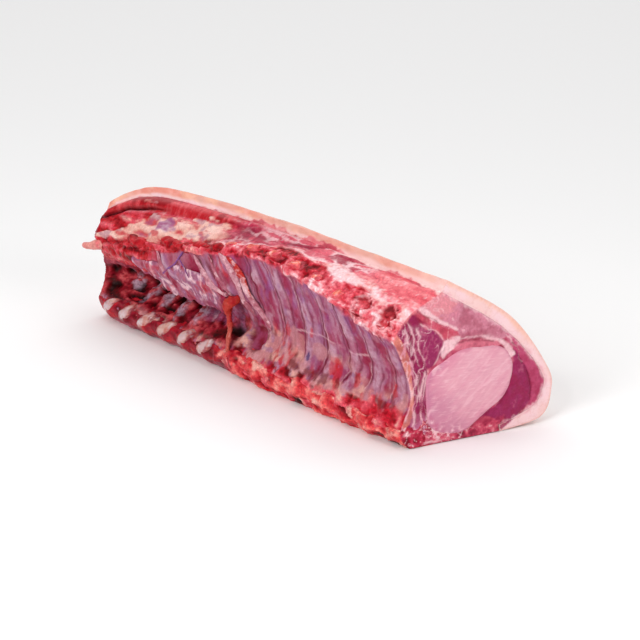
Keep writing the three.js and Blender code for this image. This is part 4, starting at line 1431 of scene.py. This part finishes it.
# The near cut's colour follows its relief: painted shade in its pits, painted highlight on its crests
near_paint = ramp(near_torn, NEAR_BONE)
lay(near_paint, FAT_WHITE, thread(near_points, 9, seed=96, fine=0.06) * 0.7)
near_lift = NEAR_PROUD + CUT_CRAGS * near_torn - BORDER_SINK * ragged_border(near_points, -1)
near_points = near_points + cut_facing * near_lift[:, None]
far_torn = crest(far_points, 14, seed=6)
far_lift = FAR_PROUD + CUT_CRAGS * far_torn - BORDER_SINK * ragged_border(far_points, 0)
far_points = far_points - cut_facing * far_lift[:, None]
points = np.concatenate([rings.reshape(-1, 3), near_points, far_points])
faces = capped_faces(rings, near_triangles, len(near_points), far_triangles)
# The far cut's colour follows its relief the same way: painted shade in pits, painted highlight on crests
tissue = np.concatenate([chine_paint.reshape(-1, 3), near_paint, ramp(far_torn, FAR_BONE)])
chine = make_piece("backbone", points, faces, raw_meat, tissue, wet=0.85)
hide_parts("chine")

# Ribs: eight flat bones under the wall's skin, from the backbone up to the top edge, where the saw cut them.
# The two sawn ends nearest the shoulder are open, with red spongy marrow. Meat has closed over the others.
RIB_HEAD = 0.36
RIB_TOP = 0.995
RIB_SIDES = 36
RIB_STEPS = 30
END_RISE = 5.0
END_RINGS = 10
OPEN_DEPTH = 3.5
CLOSED_RISE = 1.2
MARROW_DARK = tone(168, 22, 36)
MARROW_ORANGE = tone(234, 122, 98)
# An open end darkens towards its sunk middle: marrow colour, and painted shade at the bottom of the hole
OPEN_END = [(0.1, DEEP), (0.5, BRIGHT_RED), (1.0, CORAL), (1.5, FASCIA)]
CLOSED_END = [(-0.9, MARROW_DARK), (-0.3, CORAL), (0.4, MARROW_ORANGE), (1.0, FASCIA)]


def wall_at(u, t):
    """Points of the rib wall at paired shares of the length and of the wall's curve."""
    edges = np.stack([rail(edge, u) for edge in WALL])
    return place(u, spline(edges, t, paired=True)[:, None])[:, 0]


def off_wall(u, t, lift):
    """Points of the rib wall, lifted off it along its outward direction."""
    step = 2e-3
    u = np.clip(u, step, 1 - step)
    t = np.clip(t, step, 1 - step)
    along = wall_at(u + step, t) - wall_at(u - step, t)
    around = wall_at(u, t + step) - wall_at(u, t - step)
    out = np.cross(along, around)
    out /= np.linalg.norm(out, axis=-1, keepdims=True)
    return wall_at(u, t) + out * np.asarray(lift)[..., None]


def join(solids):
    """Several closed meshes as one: their points, their faces and what is painted on them."""
    all_points, all_faces, tissues = zip(*solids)
    faces = []
    count = 0
    for solid_points, solid_faces in zip(all_points, all_faces):
        faces += [[corner + count for corner in face] for face in solid_faces]
        count += len(solid_points)
    return np.concatenate(all_points), faces, np.concatenate(tissues)


def closed_tube(rings):
    """A tube of rings, closed at both ends and facing outwards, whichever way its rings run."""
    sides = rings.shape[1]
    last = (len(rings) - 1) * sides
    points = rings.reshape(-1, 3)
    faces = tube_faces(len(rings), sides) + [list(range(sides)), list(range(last, last + sides))[::-1]]
    sides_apart = rings - rings.mean(axis=(0, 1))
    inside_out = (facing(rings) * sides_apart).sum() < 0
    return points, [face[::-1] for face in faces] if inside_out else faces


def rib_bone(index):
    """One rib as an oval bar below the wall's skin. Its end shows in the top strip: pitted rings that sink
    to an open end, or rise over a closed one. It also gives how near each point lies to the end's rim."""
    head_x = FIRST_RIB_X - index * RIB_PITCH
    t = np.linspace(RIB_HEAD, RIB_TOP, RIB_STEPS)
    height = wall_at(np.full(RIB_STEPS, share_at(head_x)), t)[:, 2]
    u = share_at(head_x - RIB_SLANT * height)
    middle = off_wall(u, t, np.full(RIB_STEPS, -RIB_SINK))
    outwards = off_wall(u, t, np.ones(RIB_STEPS)) - off_wall(u, t, np.zeros(RIB_STEPS))
    path = np.gradient(middle, axis=0)
    path /= np.linalg.norm(path, axis=1, keepdims=True)
    across = np.cross(path, outwards)
    angle = np.linspace(0, 2 * math.pi, RIB_SIDES, endpoint=False)[None, :, None]
    oval_ring = across[:, None] * RIB_HALF_WIDTH * np.cos(angle)
    oval_ring = oval_ring + outwards[:, None] * RIB_HALF_DEPTH * np.sin(angle)
    spread = np.linspace(1, 0.05, END_RINGS)
    sunk = (OPEN_DEPTH if index < OPEN_ENDS else -CLOSED_RISE) * smooth(0.9, 0.4, spread)
    end = middle[-1] + path[-1] * (END_RISE - sunk)[:, None]
    wobble = 1 + 0.4 * noise(oval_ring[-1:], 7, seed=index + 8)
    end_rings = end[:, None] + oval_ring[-1:] * (spread[:, None] * wobble)[..., None]
    pits = noise(end_rings, 5, seed=index) * smooth(1.0, 0.8, spread)[:, None]
    end_rings = end_rings + path[-1] * pits[..., None]
    points, faces = closed_tube(np.concatenate([middle[:, None] + oval_ring, end_rings]))
    return points, faces, np.repeat(np.append(np.ones(RIB_STEPS), spread), RIB_SIDES)


solids = []
for index in range(RIB_COUNT):
    bone_points, bone_faces, spread = rib_bone(index)
    pitted = crest(bone_points, 6, seed=5)
    rim = spread + 0.3 * noise(bone_points, 5, seed=100)
    if index < OPEN_ENDS:
        # Darker towards the sunk middle: the marrow's colour and painted shade at the bottom of the hole
        paint = ramp(rim + 0.5 * pitted, OPEN_END)
    else:
        paint = ramp(pitted, CLOSED_END)
        lay(paint, CORAL, smooth(0.6, 0.95, rim) * 0.8)
    solids.append((bone_points, bone_faces, paint))
points, faces, tissue = join(solids)
ribs = make_piece("ribs", points, faces, raw_meat, tissue, wet=0.7)
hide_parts(*[f"rib_{index + 1}" for index in range(RIB_COUNT)])

# Discs: the six pads of pearly gristle between the lumbar vertebrae, split with the backbone.
# They stand out of the red lip as slanted glossy ovals.
DISC_SHARE = 0.23
DISC_HALF_SHARE = 0.095
DISC_HALF_X = 10
DISC_LEAN = 0.2
DISC_LIFT = 2.1
DISC_DOME = 2.2
DISC_RIM_FALL = 3.5
DISC_SINK = 3
DISC_RAGGED = 0.2
DISC_RINGS = 14
DISC_SIDES = 32
PEARL = tone(206, 170, 172)
PEARL_GREY = tone(208, 192, 196)
PEARL_AMBER = tone(200, 136, 108)
PEARL_WARM = tone(192, 98, 86)


def disc_pad(disc_x, seed):
    """One disc as an oval pad on the wall: rings from its middle to its rim, and a smaller one sunk into the
    wall. It also gives how near each point lies to the rim."""
    spread = np.linspace(0.04, 1, DISC_RINGS)
    dome = DISC_DOME * np.sqrt(np.maximum(1 - spread**2, 0))
    profile = DISC_LIFT + dome - DISC_RIM_FALL * smooth(0.75, 1, spread)
    angle = np.linspace(0, 2 * math.pi, DISC_SIDES, endpoint=False)
    ring, turn = np.meshgrid(spread, angle, indexing="ij")
    wobble = noise(at(np.cos(turn), np.sin(turn), 0), 0.9, seed=seed)
    away = ring * (1 + DISC_RAGGED * wobble)
    t_off = DISC_HALF_SHARE * away * np.sin(turn)
    u_off = DISC_HALF_X / CHINE_LENGTH * away * np.cos(turn) + DISC_LEAN * t_off
    u = share_at(disc_x) + np.vstack([u_off, u_off[-1:] * 0.8])
    t = DISC_SHARE + np.vstack([t_off, t_off[-1:] * 0.8])
    lift = np.repeat(np.append(profile, -DISC_SINK), DISC_SIDES)
    points, faces = closed_tube(off_wall(u.ravel(), t.ravel(), lift).reshape(-1, DISC_SIDES, 3))
    return points, faces, np.append(ring.ravel(), np.ones(DISC_SIDES))


def pearl_finish():
    """Wet gristle: a pale painted ground, faint milky clouds and a strong gloss."""
    finish, start, sockets = new_finish("gristle")
    cloud = grain(start, 240)
    ground = painted(start, "tissue", "Color")
    start.feed(sockets, {
        "Base Color": (cloud.step(0.5, 0.75) * 0.3).mix(ground, rgba(228, 212, 216)),
        "Roughness": 0.2 + cloud * 0.2,
        "Normal": start.node("Bump", {"Height": cloud, "Strength": 0.2, "Distance": 0.6 * MM}),
        "Coat Weight": 0.5,
        "Coat Roughness": 0.08,
        "Subsurface Weight": 0.15,
        "Subsurface Scale": 3 * MM,
    })
    return finish


solids = []
for index, disc_x in enumerate(disc_places):
    pad_points, pad_faces, spread = disc_pad(disc_x, seed=index + 20)
    paint = plain(PEARL, pad_points)
    lay(paint, PEARL_GREY, patches(pad_points, 6, 112, 0.0, 0.5) * 0.8)
    lay(paint, PEARL_AMBER, patches(pad_points, 8, 113, 0.05, 0.5) * 0.55)
    # Warmer and darker towards the falling rim: partly the gristle's staining, partly painted shade
    lay(paint, PEARL_WARM, smooth(0.4, 0.9, spread + 0.6 * noise(pad_points, 7, seed=110)) * 0.9)
    lay(paint, LIP_RED, smooth(0.62, 0.92, spread + 0.45 * noise(pad_points, 6, seed=111)) * 0.95)
    solids.append((pad_points, pad_faces, paint))
points, faces, tissue = join(solids)
discs = make_piece("discs", points, faces, pearl_finish(), tissue)

# Lumbar scraps: what the knife left at the lumbar end. A torn skin hangs over the hollow, lumps of red meat
# break the top edge, tendons and a vein run over the wall, and the midriff's end hangs as a knobbed strand.
# A tongue of soft fat sticks out at the end. All of them grow from the meat that they lie on.
STRAND_STEPS = 60
STRAND_SIDES = 20
STRAND_X = -23
STRAND_RADII = [4, 6.5, 5, 3.2, 2.6, 4]
TONGUE_X = -268
TONGUE_LENGTH = 17
TONGUE_RADIUS = 6
TONGUE_SHARES = [1.2, 1, 0.7, 0.5]
LUMP_STEPS = 40
LUMP_SIDES = 48
SKIN_STATIONS = 220
SKIN_SAMPLES = 30
SKIN_SPAN = (-192, -34)
SKIN_FADE = 14
SKIN_THICKNESS = 1.0
SKIN_HEM = 0.25
SKIN_RISE = 16
SKIN_FALLS = [2, 13, 23, 30, 32]
SKIN_LEAN = 0.45
SKIN_TATTERS = 9
CORD_LIFT = 1.6
STRAND_ORANGE = tone(178, 56, 46)
TONGUE_PINK = tone(222, 146, 138)
TENDON = tone(196, 136, 148)
SKIN_PINK = tone(176, 100, 118)
GASH_RED = tone(180, 42, 38)
# TORN_SKIN follows painted wrinkles, dark troughs as painted shade and pale crests as painted highlight;
# LUMP_MEAT follows the lumps' relief the same way
TORN_SKIN = [(-0.7, CRIMSON), (-0.2, SKIN_PINK), (0.3, LILAC), (0.8, tone(230, 190, 198))]
LUMP_MEAT = [(-0.9, DEEP), (-0.1, tone(162, 16, 30)), (0.7, tone(192, 42, 50)), (1.3, CORAL)]
# Lumps of torn meat along the top edge: their middles and half sizes
LUMPS = [
    ((-186, -84, 110), (20, 7, 8)),
    ((-128, -82, 120), (19, 8, 7)),
    ((-108, -81, 124), (15, 7, 5)),
    ((-68, -80, 131), (17, 7, 6)),
    ((-172, -82, 98), (12, 6, 8)),
    ((-234, -83, 91), (16, 6, 8)),
    ((-208, -82, 86), (14, 5, 7)),
    ((-43, -78, 136), (12, 6, 5)),
]
# Tendons, a vein with its branch and a gash on the wall: their paths as [x, z], radii, flatness and colours
CORDS = [
    ([(-39, 134), (-22, 122), (-14, 106), (-11, 88), (-4, 72)], (2, 4.5, 5, 4, 2), 0.35, TENDON),
    ([(-29, 135), (-9, 119), (-2, 104), (6, 88), (16, 72), (24, 60)], (2, 3, 4, 4, 3, 1.5), 0.35, TENDON),
    ([(-82, 122), (-65, 105), (-50, 93), (-36, 86)], (1.5, 4, 4.5, 2), 0.3, TENDON),
    ([(-58, 128), (-46, 112), (-34, 98), (-28, 88)], (1.5, 3, 4, 2), 0.3, SKIN_PINK),
    ([(-101, 122), (-110, 111), (-116, 104), (-128, 96), (-139, 88)], (0.9, 1.1, 1, 1, 0.8), 0.9, PURPLE),
    ([(-108, 112), (-98, 104), (-92, 94)], (0.6, 0.7, 0.5), 0.9, PURPLE),
    ([(-150, 112), (-140, 98), (-134, 86)], (1.5, 3, 2), 0.3, TENDON),
    ([(-26, 134), (-12, 124), (-3, 112), (2, 99), (5, 90)], (2, 3.5, 4, 3, 1.5), 0.35, GASH_RED),
]


def strand(path, radii, flat=1.0, lumps=0.12, seed=0):
    """A soft strand through points, with its radius at each of them. Flat squeezes it to a ribbon."""
    share = np.linspace(0, 1, STRAND_STEPS)
    middle = spline(path, share)
    radius = spline(np.asarray(radii, float)[:, None], share)[:, 0]
    radius = radius * np.sqrt(np.clip(np.minimum(share, 1 - share) * 14, 0.02, 1))
    ahead = np.gradient(middle, axis=0)
    ahead /= np.linalg.norm(ahead, axis=1, keepdims=True)
    side = np.cross(ahead, (0.0, -1.0, 0.3))
    side /= np.linalg.norm(side, axis=1, keepdims=True)
    up = np.cross(side, ahead)
    angle = np.linspace(0, 2 * math.pi, STRAND_SIDES, endpoint=False)
    ring = side[:, None] * np.cos(angle)[:, None] + up[:, None] * flat * np.sin(angle)[:, None]
    rings = middle[:, None] + ring * radius[:, None, None]
    rings = rings + ring * (lumps * radius[:, None] * noise(rings, 7, seed=seed))[..., None]
    return closed_tube(rings)


def lump(middle, half, seed):
    """A lump of torn meat: an egg with a craggy skin."""
    rise = np.linspace(0.05, math.pi - 0.05, LUMP_STEPS)[:, None]
    turn = np.linspace(0, 2 * math.pi, LUMP_SIDES, endpoint=False)[None, :]
    egg = at(-np.cos(rise), np.sin(rise) * np.cos(turn), np.sin(rise) * np.sin(turn))
    rings = np.asarray(middle) + egg * half
    swell = 0.4 * noise(rings, 14, seed=seed) + 0.14 * crest(rings, 9, seed=seed + 40)
    return closed_tube(rings + egg * half * np.maximum(swell, -0.5)[..., None])


every_share = np.linspace(0, 1, 101)


def on_wall(path, lift):
    """Points [x, z] of a path on the rib wall, lifted off it."""
    path = np.asarray(path, float)
    u = share_at(path[:, 0])
    heights = section(WALL, u, every_share)[..., 1]
    upper = every_share > 0.5
    t = np.array([np.interp(z, row[upper], every_share[upper]) for z, row in zip(path[:, 1], heights)])
    return off_wall(u, t, np.full(len(path), lift))


scraps = []

# The torn skin, as rings down its front and up its back
x = np.linspace(*SKIN_SPAN, SKIN_STATIONS)
u = share_at(x)
brink = rail("overhang", u)
down = np.linspace(0, 1, SKIN_SAMPLES)
line = at(x, 0, 0)
fade = smooth(SKIN_SPAN[0], SKIN_SPAN[0] + SKIN_FADE, x) * smooth(SKIN_SPAN[1], SKIN_SPAN[1] - SKIN_FADE, x)
top_z = brink[:, 1] + SKIN_RISE + 5 * noise(line, 30, seed=130)
fall = spline(np.array(SKIN_FALLS)[:, None], np.linspace(0, 1, SKIN_STATIONS))[:, 0]
tatter = SKIN_TATTERS * (noise(line, 19, seed=131, octaves=3) + 0.35 * noise(line, 7, seed=137, octaves=2))
low_z = brink[:, 1] + 4 - (fall + 4 + np.maximum(tatter, -4)) * fade
z = top_z[:, None] + (low_z - top_z)[:, None] * down
wall_rows = section(WALL, u, every_share)
upper = every_share > 0.6
wall_y = np.array([np.interp(row_z, row[upper, 1], row[upper, 0]) for row_z, row in zip(z, wall_rows)])
below = np.maximum(brink[:, 1:] - z, 0)
wall_y = np.where(below > 0, np.minimum(wall_y, brink[:, :1] + 1 + SKIN_LEAN * below), wall_y)
folds = crest(at(x[:, None] + 0.5 * z, 0, 0.3 * z), 15, seed=132)
front_y = wall_y - 0.6 - 1.6 * np.sin(math.pi * down * 0.75) - 2.0 * folds * smooth(0, 0.4, down)
front = at(x[:, None], front_y, z)
back = front + at(0, SKIN_THICKNESS * (1.2 - 0.7 * down), 0)
back[:, -1] = front[:, -1] + (0, SKIN_HEM, 0)
skin = closed_tube(np.concatenate([front, back[:, ::-1]], axis=1))
# Wrinkles painted on the skin: dark troughs as painted shade, pale crests as painted highlight, over its
# lilac and pink
wrinkle = crest(skin[0] * (1, 0, 0.5), 11, seed=133)
grazed = wrinkle + 0.5 * noise(skin[0], 20, seed=134) + 0.3 * noise(skin[0], 4, seed=135)
paint = ramp(grazed, TORN_SKIN)
lay(paint, BLOOD, patches(skin[0], (12, 12, 8), 136, 0.25, 0.6) * 0.5)
hem = np.tile(np.concatenate([down, down[::-1]]), SKIN_STATIONS) + 0.2 * noise(skin[0], 9, seed=138)
# The hem, where the skin hangs into the hollow, is darkened as painted shade
lay(paint, CRIMSON, smooth(0.8, 1.1, hem) * 0.7)
scraps.append((*skin, paint))

for seed, (middle, half) in enumerate(LUMPS, start=1):
    egg = lump(middle, half, seed)
    # Each lump's colour partly follows its craggy relief: painted shade in the pits, painted highlight on the
    # crests
    torn = crest(egg[0], 9, seed=seed + 40) + 0.4 * noise(egg[0], 14, seed=140)
    scraps.append((*egg, ramp(torn, LUMP_MEAT)))

for path, radii, flat, shade in CORDS:
    cord = strand(on_wall(path, CORD_LIFT), radii, flat, lumps=0.35, seed=len(path))
    paint = plain(shade, cord[0])
    lay(paint, CRIMSON, patches(cord[0], 8, 142, 0.0, 0.5) * 0.6)
    lay(paint, FASCIA, patches(cord[0], 5, 144, 0.2, 0.6) * 0.5)
    scraps.append((*cord, paint))

top = rail("overhang", share_at(STRAND_X))
low = rail("lip", share_at(STRAND_X))
midriff = strand([
    (STRAND_X + 8, top[0] + 4, top[1] - 6),
    (STRAND_X - 1, top[0] - 4, top[1] - 14),
    (STRAND_X - 5, top[0] - 3, top[1] - 26),
    (STRAND_X - 5, (top[0] + low[0]) / 2 + 2, (top[1] + low[1]) / 2 - 6),
    (STRAND_X - 4, low[0] + 1, low[1] + 12),
    (STRAND_X - 7, low[0] + 3, low[1] + 1),
], STRAND_RADII, flat=0.7, lumps=0.5, seed=120)
paint = plain(STRAND_ORANGE, midriff[0])
lay(paint, MARROW_DARK, patches(midriff[0], 9, 122, 0.0, 0.6) * 0.7)
lay(paint, PEARL_WARM, smooth(62, 44, midriff[0][:, 2]) * 0.7)
scraps.append((*midriff, paint))

root = rail("saw_edge", share_at(TONGUE_X))
tongue = strand([
    (TONGUE_X + 18, root[0] + 12, root[1] - 4),
    (TONGUE_X + 4, root[0] + 2, root[1] - 8),
    (TONGUE_X - TONGUE_LENGTH / 2, root[0] - TONGUE_LENGTH / 4, root[1] - 11),
    (TONGUE_X - TONGUE_LENGTH, root[0] - TONGUE_LENGTH / 3, root[1] - 12),
], np.array(TONGUE_SHARES) * TONGUE_RADIUS, seed=121)
paint = plain(TONGUE_PINK, tongue[0])
lay(paint, CORAL, patches(tongue[0], 7, 124, 0.0, 0.6) * 0.6)
scraps.append((*tongue, paint))

points, faces, tissue = join(scraps)
lumbar_scraps = make_piece("lumbar_scraps", points, faces, raw_meat, tissue, wet=0.8, grit=0.6)

low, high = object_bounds()
